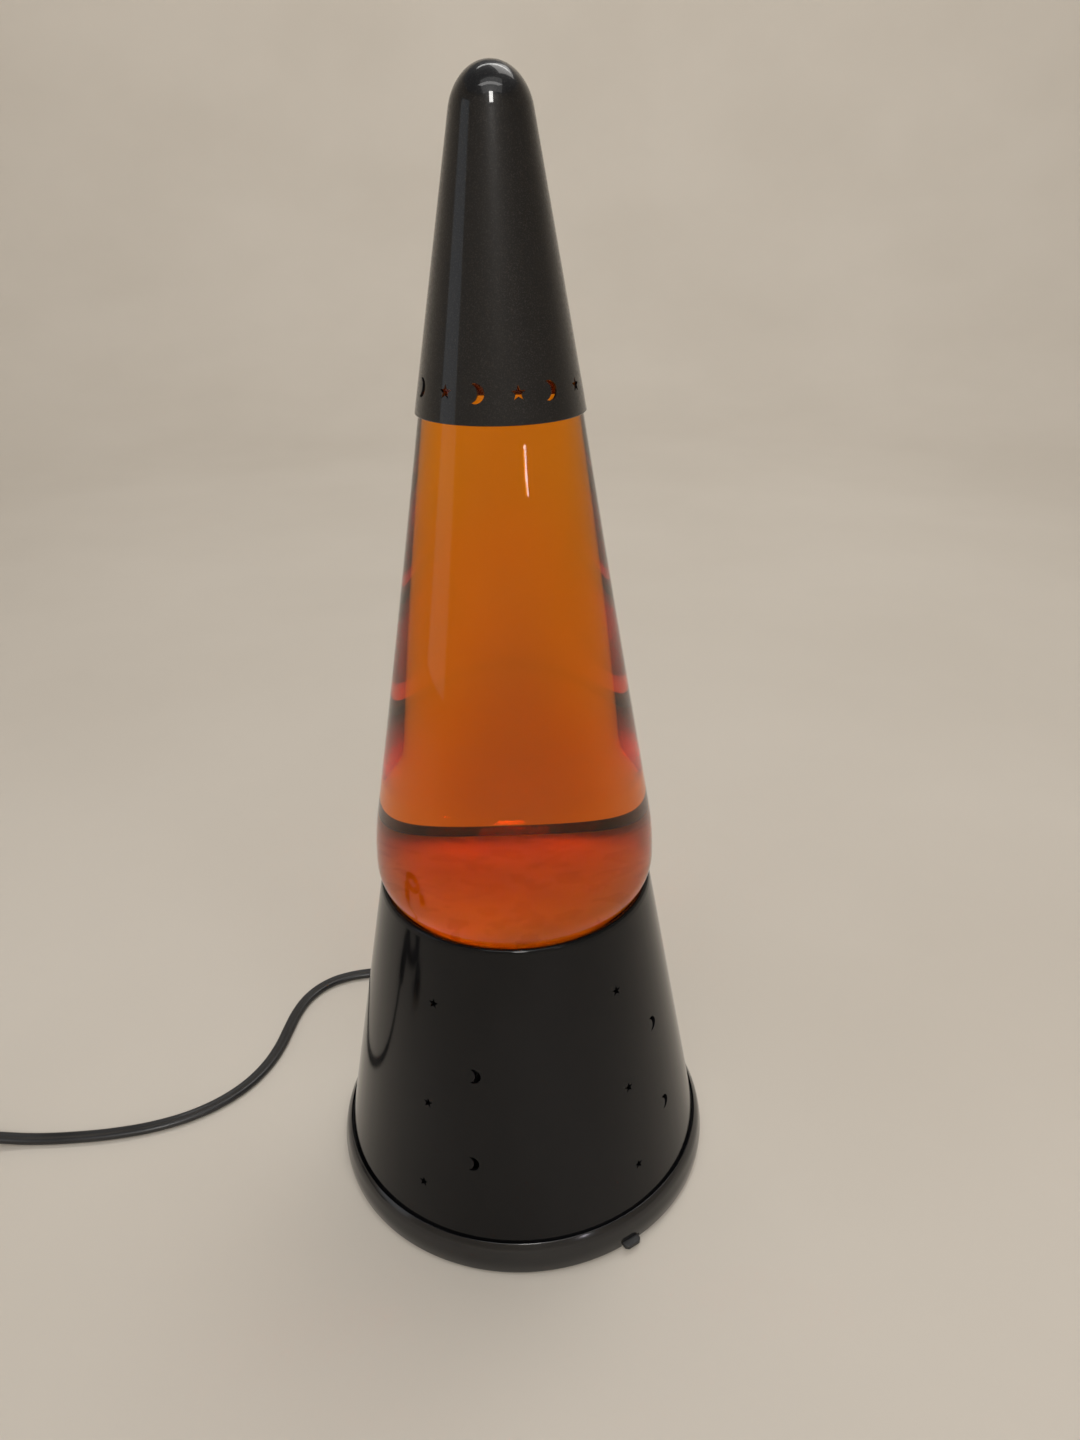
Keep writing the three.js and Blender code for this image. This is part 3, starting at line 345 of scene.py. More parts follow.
# ---------------------------------------------------------------- materials
class Surface:
    """A Principled material whose colour, roughness and relief come from noise in object space."""

    def __init__(self, name):
        self.material = bpy.data.materials.new(name)
        self.material.use_nodes = True
        self.tree = self.material.node_tree
        self.shader = self.tree.nodes["Principled BSDF"]
        self.output = self.tree.nodes["Material Output"]
        self.place = self.tree.nodes.new("ShaderNodeTexCoord").outputs["Object"]

    def link(self, source, target):
        self.tree.links.new(source, target)

    def noise(self, scale, detail=3.0, stretch=(1, 1, 1)):
        mapping = self.tree.nodes.new("ShaderNodeMapping")
        mapping.inputs["Scale"].default_value = stretch
        texture = self.tree.nodes.new("ShaderNodeTexNoise")
        texture.inputs["Scale"].default_value = scale
        texture.inputs["Detail"].default_value = detail
        self.link(self.place, mapping.inputs["Vector"])
        self.link(mapping.outputs["Vector"], texture.inputs["Vector"])
        return texture.outputs["Fac"]

    def ramp(self, value, low, high, start, end):
        """Maps value from low..high to start..end, clamped."""
        node = self.tree.nodes.new("ShaderNodeMapRange")
        for name, number in zip(("From Min", "From Max", "To Min", "To Max"), (low, high, start, end)):
            node.inputs[name].default_value = number
        self.link(value, node.inputs["Value"])
        return node.outputs["Result"]

    def colours(self, value, first, second, low=0.35, high=0.65):
        node = self.tree.nodes.new("ShaderNodeMix")
        node.data_type = "RGBA"
        factor = next(s for s in node.inputs if s.name == "Factor" and s.type == "VALUE")
        a, b = [s for s in node.inputs if s.type == "RGBA"]
        a.default_value = (*first, 1)
        b.default_value = (*second, 1)
        self.link(self.ramp(value, low, high, 0, 1), factor)
        result = next(s for s in node.outputs if s.type == "RGBA")
        self.link(result, self.shader.inputs["Base Color"])

    def roughness(self, value, start, end, low=0.35, high=0.65):
        self.link(self.ramp(value, low, high, start, end), self.shader.inputs["Roughness"])

    def relief(self, value, height, strength=1.0):
        node = self.tree.nodes.new("ShaderNodeBump")
        node.inputs["Distance"].default_value = height * MM
        node.inputs["Strength"].default_value = strength
        self.link(value, node.inputs["Height"])
        self.link(node.outputs["Normal"], self.shader.inputs["Normal"])

    def set(self, **numbers):
        for name, number in numbers.items():
            label = name.replace("_", " ").title().replace("Ior", "IOR")
            self.shader.inputs[label].default_value = number

    def mirror(self, share):
        """Scales how much light facing a clear surface reflects."""
        self.shader.inputs["Specular Tint"].default_value = (share, share, share, 1)


def plain_surface(name, colour, rough, grain, relief, metallic=0.0, spread=0.25, stretch=(1, 1, 1), **extra):
    """Plastic, rubber, wire or metal: a little mottling, and fine relief at its grain's size."""
    surface = Surface(name)
    mottle = surface.noise(60, 4)
    surface.colours(mottle, [c * (1 - spread) for c in colour], [c * (1 + spread) for c in colour])
    fine = surface.noise(1000 / grain, 2, stretch)
    surface.roughness(fine, rough * 0.8, min(rough * 1.2, 1))
    surface.relief(fine, relief)
    surface.set(metallic=metallic, **extra)
    return surface.material


def cap_paint():
    surface = Surface("cap_paint")
    speckle = surface.noise(2600, 1)
    surface.colours(speckle, (0.006, 0.006, 0.0065), (0.026, 0.024, 0.024), 0.5, 0.8)
    surface.roughness(surface.noise(900, 2), 0.3, 0.42)
    surface.relief(surface.noise(1500, 2), 0.012)
    surface.set(metallic=0.1, specular_ior_level=0.15, coat_weight=0.8, coat_roughness=0.04)
    return surface.material


def base_enamel():
    surface = Surface("base_enamel")
    smudge = surface.noise(18, 5, (1, 1, 0.5))
    surface.colours(smudge, (0.0035, 0.0035, 0.004), (0.007, 0.007, 0.008))
    surface.roughness(smudge, 0.07, 0.15)
    surface.relief(surface.noise(420, 2), 0.004)
    surface.set(specular_ior_level=0.2, coat_weight=0.08, coat_roughness=0.05)
    return surface.material


def foot_gloss():
    surface = Surface("foot_plastic")
    smudge = surface.noise(30, 4)
    surface.colours(smudge, (0.004, 0.004, 0.005), (0.008, 0.008, 0.009))
    surface.roughness(smudge, 0.12, 0.22)
    surface.relief(surface.noise(300, 2), 0.004)
    surface.set(coat_weight=0.3, coat_roughness=0.08)
    return surface.material


def clear_surface(name, scale, detail, first, second, rough, ior):
    """Clear glass or liquid, faintly uneven in colour and polish."""
    surface = Surface(name)
    haze = surface.noise(scale, detail)
    surface.colours(haze, first, second)
    surface.roughness(haze, 0.0, rough)
    surface.set(transmission_weight=1.0, ior=ior)
    return surface


def globe_glass():
    surface = clear_surface("globe_glass", 25, 4, (0.97, 0.985, 0.975), (1, 1, 1), 0.012, 1.5)
    surface.relief(surface.noise(14, 2, (1, 1, 0.35)), 0.05)
    surface.mirror(0.5)
    return surface.material


def orange_liquid():
    surface = clear_surface("orange_liquid", 20, 2, (1, 0.42, 0.01), (1, 0.46, 0.02), 0.006, 1.34)
    surface.mirror(0.02)
    absorption = surface.tree.nodes.new("ShaderNodeVolumeAbsorption")
    absorption.inputs["Color"].default_value = (0.97, 0.85, 0.2, 1)
    absorption.inputs["Density"].default_value = 75.0
    surface.link(absorption.outputs["Volume"], surface.output.inputs["Volume"])
    return surface.material


def orange_wax():
    surface = Surface("orange_wax")
    cloud = surface.noise(45, 4)
    surface.colours(cloud, (0.64, 0.48, 0.025), (0.68, 0.52, 0.04))
    surface.roughness(surface.noise(120, 3), 0.22, 0.4)
    surface.relief(surface.noise(90, 3), 0.25)
    surface.set(specular_ior_level=0.15)
    return surface.material


def bulb_clear():
    return clear_surface("bulb_clear", 80, 3, (0.96, 0.97, 0.97), (1, 1, 1), 0.03, 1.5).material


BLACK_PVC = (0.014, 0.014, 0.015)
STEEL = (0.56, 0.57, 0.58)
BRASS = (0.72, 0.53, 0.24)
materials = {
    "cap_paint": cap_paint(),
    "base_enamel": base_enamel(),
    "foot_plastic": foot_gloss(),
    "globe_glass": globe_glass(),
    "orange_liquid": orange_liquid(),
    "orange_wax": orange_wax(),
    "bulb_clear": bulb_clear(),
}
# Name, then colour, roughness, grain, relief, metal, spread and stretch, as in plain_surface.
for name, values, extra in (
    ("coil_steel", ((0.62, 0.62, 0.6), 0.28, 0.6, 0.003, 1.0, 0.08), {}),
    ("crown_tinplate", ((0.7, 0.7, 0.7), 0.3, 0.8, 0.004, 1.0, 0.08), {}),
    ("crown_seal", ((0.7, 0.68, 0.6), 0.7, 0.7, 0.01), {"spread": 0.08}),
    ("cover_plastic", ((0.022, 0.022, 0.023), 0.55, 0.5, 0.02), {}),
    ("foot_rubber", ((0.026, 0.026, 0.026), 0.85, 0.4, 0.03), {}),
    ("zinc_steel", (STEEL, 0.34, 0.9, 0.004, 1.0, 0.15, (1, 1, 0.2)), {}),
    ("phenolic", ((0.035, 0.02, 0.014), 0.35, 0.7, 0.01), {"coat_weight": 0.2}),
    ("brass", (BRASS, 0.3, 0.8, 0.004, 1.0, 0.12), {}),
    ("wire_black", (BLACK_PVC, 0.5, 0.5, 0.01), {}),
    ("wire_white", ((0.7, 0.69, 0.65), 0.5, 0.5, 0.01), {"spread": 0.06}),
    ("filament_wire", ((0.25, 0.25, 0.25), 0.45, 0.2, 0.002, 1.0, 0.1), {}),
    ("bulb_aluminium", ((0.75, 0.75, 0.73), 0.3, 0.8, 0.004, 1.0, 0.1), {}),
    ("black_glass", ((0.012, 0.012, 0.02), 0.12, 1.5, 0.004), {}),
    ("solder", ((0.55, 0.55, 0.54), 0.4, 0.6, 0.02, 1.0, 0.15), {}),
    ("cord_pvc", (BLACK_PVC, 0.42, 0.5, 0.012), {"coat_weight": 0.1}),
    ("switch_plastic", ((0.017, 0.017, 0.018), 0.42, 0.45, 0.016), {}),
    ("wheel_plastic", ((0.03, 0.03, 0.032), 0.5, 0.4, 0.016), {}),
    ("tie_plastic", ((0.016, 0.016, 0.016), 0.6, 0.4, 0.01), {}),
):
    materials[name] = plain_surface(name, *values, **extra)


def placed(piece, slot, body, *nodes):
    """Gives the piece its material, its body and the CAD nodes that it stands for."""
    piece.data.materials.clear()
    piece.data.materials.append(materials[slot])
    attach(piece, body)
    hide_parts(*nodes)
    return piece


# ---------------------------------------------------------------- punched stars and moons
def star_outline(radius):
    corners, waist = 10, 0.42
    spokes = [radius if i % 2 == 0 else radius * waist for i in range(corners)]
    return [polar(spoke, math.pi / 2 + 2 * math.pi * i / corners) for i, spoke in enumerate(spokes)]


def moon_outline(radius):
    """A crescent with its horns to the left."""
    inner, shift, steps = radius * 0.98, radius * 0.72, 12
    horn = math.acos((radius**2 + shift**2 - inner**2) / (-2 * radius * shift))
    inner_horn = math.asin(radius * math.sin(horn) / inner)
    outer = [horn * (2 * i / steps - 1) for i in range(steps + 1)]
    back = [inner_horn * (1 - 2 * i / steps) for i in range(1, steps)]
    hollow = [polar(inner, a) for a in back]
    return [polar(radius, a) for a in outer] + [(x - shift, y) for x, y in hollow]


def punch(outline, angle, radius, height, taper):
    """A cutter through a conical wall, square to its surface."""
    lean = math.atan(taper)
    out, up = outward(angle), Vector((0, 0, 1))
    normal = out * math.cos(lean) + up * math.sin(lean)
    slope = up * math.cos(lean) - out * math.sin(lean)
    place = Matrix.Translation(out * radius + up * height)
    place = place @ Matrix((sideways(angle), slope, normal)).transposed().to_4x4()
    return prism("punch", outline, -4, 4, place)


def cone_normals(piece, taper, top):
    """Sets true cone normals on the wall below a height, so that cut faces shine like the rest."""
    lean = math.atan(taper)
    mesh = piece.data
    normals = [corner.vector.copy() for corner in mesh.corner_normals]
    for face in mesh.polygons:
        if face.center.z > top * MM:
            continue
        for loop in face.loop_indices:
            point = mesh.vertices[mesh.loops[loop].vertex_index].co
            out = Vector((point.x, point.y, 0)).normalized()
            true = out * math.cos(lean) + Vector((0, 0, math.sin(lean)))
            facing = true.dot(face.normal)
            if abs(facing) > 0.995:
                normals[loop] = true if facing > 0 else -true
    mesh.normals_split_custom_set(normals)


# ---------------------------------------------------------------- cap
def cap_profile(rim, top, steps=22):
    """From the rim up the cone and round the elliptical nose to the tip."""
    stretch = CAP_NOSE_STRETCH
    join = math.atan(CAP_TAPER * stretch)
    shrink = math.cos(join) - CAP_TAPER * stretch * (1 - math.sin(join))
    nose = (rim - CAP_TAPER * (top - CAP_RIM_Z)) / shrink
    centre = top - stretch * nose
    angles = [join + (math.pi / 2 - join) * i / steps for i in range(steps)]
    curve = [(nose * math.cos(a), centre + stretch * nose * math.sin(a)) for a in angles]
    levels = 6
    run, rise = curve[0][0] - rim, curve[0][1] - CAP_RIM_Z
    cone = [(rim + run * i / levels, CAP_RIM_Z + rise * i / levels) for i in range(levels)]
    return cone + curve + [(0, top)]


def make_cap():
    outer = cap_profile(CAP_RIM_RADIUS, LAMP_TOP)
    inner = cap_profile(CAP_RIM_RADIUS - CAP_SHEET, LAMP_TOP - CAP_SHEET)
    lip_radius = CAP_SHEET / 2
    lip = arc((CAP_RIM_RADIUS - lip_radius, CAP_RIM_Z + lip_radius), lip_radius, -160, -20, 5)
    inside, outside = [[p for p in wall if p[1] > CAP_RIM_Z + 0.4] for wall in (inner[::-1], outer)]
    cap = revolve("cap", inside + lip + outside, 144)
    radius = CAP_RIM_RADIUS - CAP_TAPER * (CAP_PUNCH_Z - CAP_RIM_Z)
    moon, star = moon_outline(MOON_RADIUS), star_outline(STAR_RADIUS)
    cutters = []
    for i in range(CAP_PUNCHES):
        turn = i * 360 / CAP_PUNCHES
        cutters.append(punch(moon, CAP_MOON_START + turn, radius, CAP_PUNCH_Z, CAP_TAPER))
        cutters.append(punch(star, CAP_STAR_START + turn, radius, CAP_PUNCH_Z, CAP_TAPER))
    cut(cap, cutters)
    cone_normals(cap, CAP_TAPER, 390)
    placed(cap, "cap_paint", "cap", "cap_shell")


# ---------------------------------------------------------------- globe
def globe_radius(z):
    arc_radius = (GLOBE_CONE_Z - GLOBE_WIDEST_Z) / math.sin(math.atan(GLOBE_TAPER))
    rise = z - GLOBE_CONE_Z
    if rise < 0:
        return GLOBE_WIDEST_RADIUS - arc_radius + math.sqrt(arc_radius**2 - (z - GLOBE_WIDEST_Z) ** 2)
    start = GLOBE_WIDEST_RADIUS - arc_radius * (1 - math.cos(math.atan(GLOBE_TAPER)))
    return start - GLOBE_TAPER * rise + GLOBE_FLARE * rise**2


def globe_heel(inset):
    """From the floor's edge up the heel to the belly, inset into the glass by a depth."""
    centre = (GLOBE_WIDEST_RADIUS - GLOBE_HEEL_RADIUS, GLOBE_WIDEST_Z)
    heel = arc(centre, GLOBE_HEEL_RADIUS - inset, -GLOBE_HEEL_TURN, 0, 12)
    floor = GLOBE_FLOOR_Z + inset
    end_radius = heel[0][0] - (heel[0][1] - floor) * math.tan(math.radians(GLOBE_HEEL_TURN))
    corner = rounded([(0, floor), (end_radius, floor, 6), heel[0]], 0, 8, closed=False)
    return corner[1:-1] + heel


def globe_wall(inset):
    """Up the cone from the belly, in steps, to just under the shoulder."""
    start, count = GLOBE_WIDEST_Z + 3, 30
    heights = [start + (GLOBE_WALL_TOP - start) * i / count for i in range(count + 1)]
    return [(globe_radius(z) - inset, z) for z in heights]


def clipped(profile, low=-math.inf, high=math.inf):
    """The stretch of a rising profile between two heights, its ends cut exactly there."""
    kept = [profile[0]] if low <= profile[0][1] <= high else []
    for (inner, below), (outer, above) in zip(profile, profile[1:]):
        cuts = [z for z in (low, high) if below < z < above]
        kept += [(inner + (outer - inner) * (z - below) / (above - below), z) for z in cuts]
        if low < above < high:
            kept.append((outer, above))
    return kept


def make_globe():
    neck_inner = NECK_RADIUS - GLASS
    outer_neck = [SHOULDER_START, SHOULDER, (19.5, 343), (NECK_RADIUS, 349), (NECK_RADIUS, 358.5)]
    bead = [(13.2, 360), (13.2, 363.2), (12.4, NECK_TOP_Z), (neck_inner, NECK_TOP_Z)]
    inner_neck = [(neck_inner, 348.4), (17.4, 342)]
    inner_neck += [(radius - GLASS, z) for radius, z in (SHOULDER, SHOULDER_START)]
    profile = [(0, GLOBE_FLOOR_Z), *globe_heel(0), *globe_wall(0)]
    profile += rounded(outer_neck, 3, 5, closed=False) + rounded(bead, 0.6, 3, closed=False)
    profile += rounded(inner_neck, 3, 5, closed=False)
    profile += [*globe_wall(GLASS)[::-1], *globe_heel(GLASS)[::-1], (0, GLOBE_FLOOR_Z + GLASS)]
    placed(revolve("globe_glass", profile, 160), "globe_glass", "globe", "globe_bottle")


CONTENTS_OVERLAP = 0.35  # the liquid and wax wet the glass, so they reach into it a little


def make_liquid():
    inset = GLASS - CONTENTS_OVERLAP
    bottom = WAX_TOP_Z - 1.2
    wall = clipped(globe_heel(inset) + globe_wall(inset), low=bottom)
    profile = [(0, bottom), *wall, *[(radius - inset, z) for radius, z in (SHOULDER_START, SHOULDER)]]
    profile += rounded([(18.2, 341.4), (17.4, LIQUID_TOP_Z), (0, LIQUID_TOP_Z)], 0.6, 3, closed=False)
    placed(revolve("lava_liquid_body", profile, 160), "orange_liquid", "globe", "lava_liquid")


def make_wax():
    """Set flat, its top faintly dished and uneven."""
    inset = GLASS - CONTENTS_OVERLAP * 0.5
    wall = clipped(globe_heel(inset), high=WAX_TOP_Z)
    edge, dip, wave = wall[-1][0], 0.3, 0.12
    shares = (0.99, 0.97, 0.85, 0.7, 0.55, 0.4, 0.25, 0.12)
    top = [(edge * k, WAX_TOP_Z - dip * math.sin(math.pi * k)) for k in shares]
    profile = [(0, GLOBE_FLOOR_Z + inset), *wall, *top, (0, WAX_TOP_Z)]
    wax = revolve("wax_body", profile, 160)
    for vertex in wax.data.vertices:
        x, y, z = vertex.co / MM
        if z > WAX_TOP_Z - 0.25:
            swell = math.sin(0.21 * x + 0.7) * math.cos(0.17 * y - 0.4) + math.sin(0.09 * (x + y))
            vertex.co.z += wave * MM * swell
    placed(wax, "orange_wax", "globe", "wax")


def sweep(name, path, section, up=Vector((0, 0, 1)), closed=False, sharp=50):
    """A tube: the section's x runs level and its y upright, square to the path. Path and section in mm."""
    count, around = len(path), len(section)
    points = []
    for i, here in enumerate(path):
        before = path[i - 1] if closed or i else here
        after = path[(i + 1) % count] if closed or i < count - 1 else here
        along = (after - before).normalized()
        level = along.cross(up).normalized()
        upright = level.cross(along)
        points += [here + level * x + upright * y for x, y in section]
    rows = count if closed else count - 1
    faces = []
    for i in range(rows):
        first, second = i * around, ((i + 1) % count) * around
        for k in range(around):
            after = (k + 1) % around
            faces.append([first + k, first + after, second + after, second + k])
    if not closed:
        faces += [list(range(around))[::-1], [(count - 1) * around + k for k in range(around)]]
    return mesh_piece(name, points, faces, sharp)


def make_heater():
    """Spring wire wound round a ring on the globe's floor."""
    winds, per_wind, wound, wire = 46, 12, 1.95, 0.42
    total = winds * per_wind
    path = []
    for i in range(total):
        out, rise = polar(wound, 2 * math.pi * i / per_wind)
        path.append(Vector((*polar(HEATER_RING + out, 2 * math.pi * i / total), HEATER_Z + rise)))
    heater = sweep("heater_spring", path, circle(wire, 6), up=Vector((0.02, 0.01, 1)), closed=True)
    placed(heater, "coil_steel", "globe", "heating_coil")


def make_crown():
    flutes, skirt = 21, 5.2
    neck_top = at(0, 0, NECK_TOP_Z)
    outside = [(15.2, -skirt), (14.9, -3), (14.3, -1), (13.3, 1.5), (0, 1.5)]
    inside = [(0, 1.1), (13, 1.1), (13.8, -1), (14.4, -3), (14.7, -skirt)]
    profile = rounded(outside, 0.9, 4, closed=False) + inside
    crown = revolve("crown_closure", profile, flutes * 10, neck_top)
    for vertex in crown.data.vertices:
        x, y, z = vertex.co / MM
        depth = min(max((NECK_TOP_Z - z) / skirt, 0), 1)
        swell = 1 + 0.022 * depth * math.cos(flutes * math.atan2(y, x))
        vertex.co.x *= swell
        vertex.co.y *= swell
    placed(crown, "crown_tinplate", "globe", "crown_cap")
    seal = rounded([(0, 0.15), (12.4, 0.15), (12.4, 0.8), (0, 0.8)], 0.2)
    placed(revolve("crown_seal", seal, place=neck_top), "crown_seal", "globe", "crown_gasket")


# ---------------------------------------------------------------- base
def base_radius(z):
    return BASE_RIM_RADIUS + (BASE_RIM_Z - z) * CONE_TAPER


def make_base_shell():
    hem = (BASE_RIM_RADIUS - HEM_RADIUS, BASE_RIM_Z - HEM_RADIUS)
    levels = 8
    step = (hem[1] - 1 - BASE_BOTTOM_Z) / levels
    heights = [BASE_BOTTOM_Z + step * i for i in range(levels + 1)]
    outer = [(base_radius(z), z) for z in heights]
    inner = [(base_radius(z) - SHEET, z) for z in heights if z < hem[1] - 4]
    start = math.degrees(math.atan(CONE_TAPER))
    roll = arc(hem, HEM_RADIUS, start, 235, 14)
    under = [(base_radius(hem[1] - 2.6) - SHEET, hem[1] - 2.6)]
    shell = revolve("base_cone", [*outer, *roll, *under, *inner[::-1]], 180)
    moon, star = moon_outline(MOON_RADIUS), star_outline(BASE_STAR_RADIUS)
    cutters = []
    for i in range(BASE_COLUMNS):
        turn = i * 360 / BASE_COLUMNS
        for z in BASE_STAR_HEIGHTS:
            cutters.append(punch(star, BASE_STAR_START + turn, base_radius(z), z, CONE_TAPER))
        for z in BASE_MOON_HEIGHTS:
            cutters.append(punch(moon, BASE_MOON_START + turn, base_radius(z), z, CONE_TAPER))
    cut(shell, cutters)
    cone_normals(shell, CONE_TAPER, hem[1] - 1.5)
    placed(shell, "base_enamel", "base", "base_shell")


def gland_place():
    """A frame whose +Z points out along the gland, with y upright."""
    out = outward(GLAND_ANGLE)
    turn = Matrix((sideways(GLAND_ANGLE), Vector((0, 0, 1)), out)).transposed().to_4x4()
    return Matrix.Translation((0, 0, GLAND_Z)) @ turn


def make_foot_ring():
    lip = base_radius(LEDGE_Z) + GAP
    wall = 1.6
    profile = [
        (RING_INNER, RING_BOTTOM_Z, 0.3),
        (RING_INNER + wall, RING_BOTTOM_Z, 0.3),
        (RING_INNER + wall, LEDGE_Z - wall, 0.3),
        (FOOT_RADIUS - 4, LEDGE_Z - wall, 0.6),
        (FOOT_RADIUS - 2.4, 8.5, 0.6),
        (FOOT_RADIUS - 2.4, RING_BOTTOM_Z, 0.5),
        (FOOT_RADIUS - 0.2, RING_BOTTOM_Z, 2.2),
        (FOOT_RADIUS + 0.1, 6.2, 3),
        (FOOT_RADIUS - 1.2, 12.2, 3),
        (lip + 0.15, 15.2, 0.9),
        (lip, LEDGE_Z, 0.2),
        (RING_INNER, LEDGE_Z, 0.4),
    ]
    ring = revolve("foot_bead", rounded(profile, 0.3, 6), 180)
    boss_bottom, boss_top = COVER_TOP_Z + GAP, 12.0
    bosses = []
    post = [(x, y - SCREW_CIRCLE) for x, y in circle(4.6, 24)]
    web_low, web_high = (-3, -RING_INNER - 1, boss_bottom + 0.1), (3, -SCREW_CIRCLE, boss_top - 0.1)
    for angle in SCREW_ANGLES:
        bosses.append(prism("boss", post, boss_bottom, boss_top, spin(angle)))
        bosses.append(block("web", web_low, web_high, spin(angle)))
    for boss in bosses:
        combined(ring, [boss], "UNION")
    gland = gland_place()
    combined(ring, [block("collar", (-7.5, -4.3, 72.9), (7.5, 4.3, 78.3), gland)], "UNION")
    half = (TAB_WIDTH + 1) / 2
    notch = block("notch", (-half, -FOOT_RADIUS - 5, 0), (half, -RING_INNER + 3, 4.3), spin(TAB_ANGLE))
    holes = [rod(1.9, 0, 14, 24, spin(a) @ at(0, -SCREW_CIRCLE)) for a in SCREW_ANGLES]
    oval = Matrix.Diagonal((1, 0.74, 1, 1))
    holes.append(rod(5.2, 66, 90, 32, gland @ oval))
    cut(ring, [notch, *holes])
    placed(ring, "foot_plastic", "base", "foot_ring")


def slot_outline(width, length, middle):
    """A slot with round ends, lengthwise along y."""
    steps, radius = 6, width / 2
    tip = middle + length / 2 - radius
    bow = [polar(radius, math.pi * i / steps) for i in range(steps + 1)]
    far = [(x, tip + y) for x, y in bow]
    near = [(-x, 2 * middle - y) for x, y in far]
    return far + near


def make_cover():
    rim = [(COVER_RADIUS, COVER_BOTTOM_Z), (COVER_RADIUS, COVER_TOP_Z)]
    disc = revolve("under_cover", rounded([(0, COVER_BOTTOM_Z), *rim, (0, COVER_TOP_Z)], 0.4), 128)
    reach = FOOT_RADIUS + 2.6
    corner, half, root = 1.2, TAB_WIDTH / 2, 16 - reach
    end = [(-half + corner, -reach), (half - corner, -reach)]
    outline = [(-half, -reach + corner), *end, (half, -reach + corner), (half, root), (-half, root)]
    tab = prism("tab", outline, COVER_BOTTOM_Z + 0.02, COVER_TOP_Z - 0.02, spin(TAB_ANGLE))
    combined(disc, [bevelled(tab, 0.35)], "UNION")
    vents, vent = 12, slot_outline(4.5, 16, -44)
    cutters = [prism("vent", vent, 0, 8, spin(15 + 360 * i / vents)) for i in range(vents)]
    screws, feet = (2, SCREW_CIRCLE, SCREW_ANGLES), (2.4, FEET_CIRCLE, FEET_ANGLES)
    for radius, distance, angles in (screws, feet, (1.9, BRACKET_FOOT, (90, 270))):
        hole = [(x, y - distance) for x, y in circle(radius, 20)]
        cutters += [prism("hole", hole, 0, 9, spin(angle)) for angle in angles]
    cut(disc, cutters)
    placed(disc, "cover_plastic", "base", "bottom_cover")


def make_feet_and_screws():
    under, over = COVER_BOTTOM_Z - GAP, COVER_TOP_Z + GAP
    foot = [
        (0, 0.35, 0.3), (4.6, 0.35, 0.2), (4.9, 0, 0.2), (6.1, 0, 0.4), (6.5, 0.6, 0.4), (6, under, 0.3),
        (2.05, under, 0), (2.05, over, 0), (3, over, 0.2), (1.4, COVER_TOP_Z + 3, 0.5), (0, COVER_TOP_Z + 3),
    ]
    for i, angle in enumerate(FEET_ANGLES, 1):
        place = spin(angle) @ at(0, -FEET_CIRCLE)
        piece = revolve(f"foot_pad_{i}", rounded(foot, 0.2), 48, place)
        placed(piece, "foot_rubber", "base", f"rubber_foot_{i}")
    head = [(0, 0.6), (2.6, 0.6, 0.8), (3.4, 1.1, 0.3), (3.4, under, 0.1)]
    screw = [*head, (1.55, under, 0), (1.55, 10, 0), (0, 11.4)]
    for i, angle in enumerate(SCREW_ANGLES, 1):
        place = spin(angle) @ at(0, -SCREW_CIRCLE)
        piece = revolve(f"cover_screw_body_{i}", rounded(screw, 0.1), 32, place)
        cut(piece, [block("bar", (-2, -0.4, 0), (2, 0.4, 1.15), place)])
        cut(piece, [block("bar", (-0.4, -2, 0), (0.4, 2, 1.15), place)])
        placed(piece, "zinc_steel", "base", f"cover_screw_{i}")


# ---------------------------------------------------------------- socket and bulb
def threads(root, crest, start, count, steps=8):
    """A rolled thread's outline: round crests between round roots, upwards."""
    middle, depth = (root + crest) / 2, (crest - root) / 2
    points = []
    for i in range(count * steps + 1):
        wave = depth * math.cos(2 * math.pi * i / steps)
        points.append((middle - wave, start + THREAD_PITCH * i / steps))
    return points


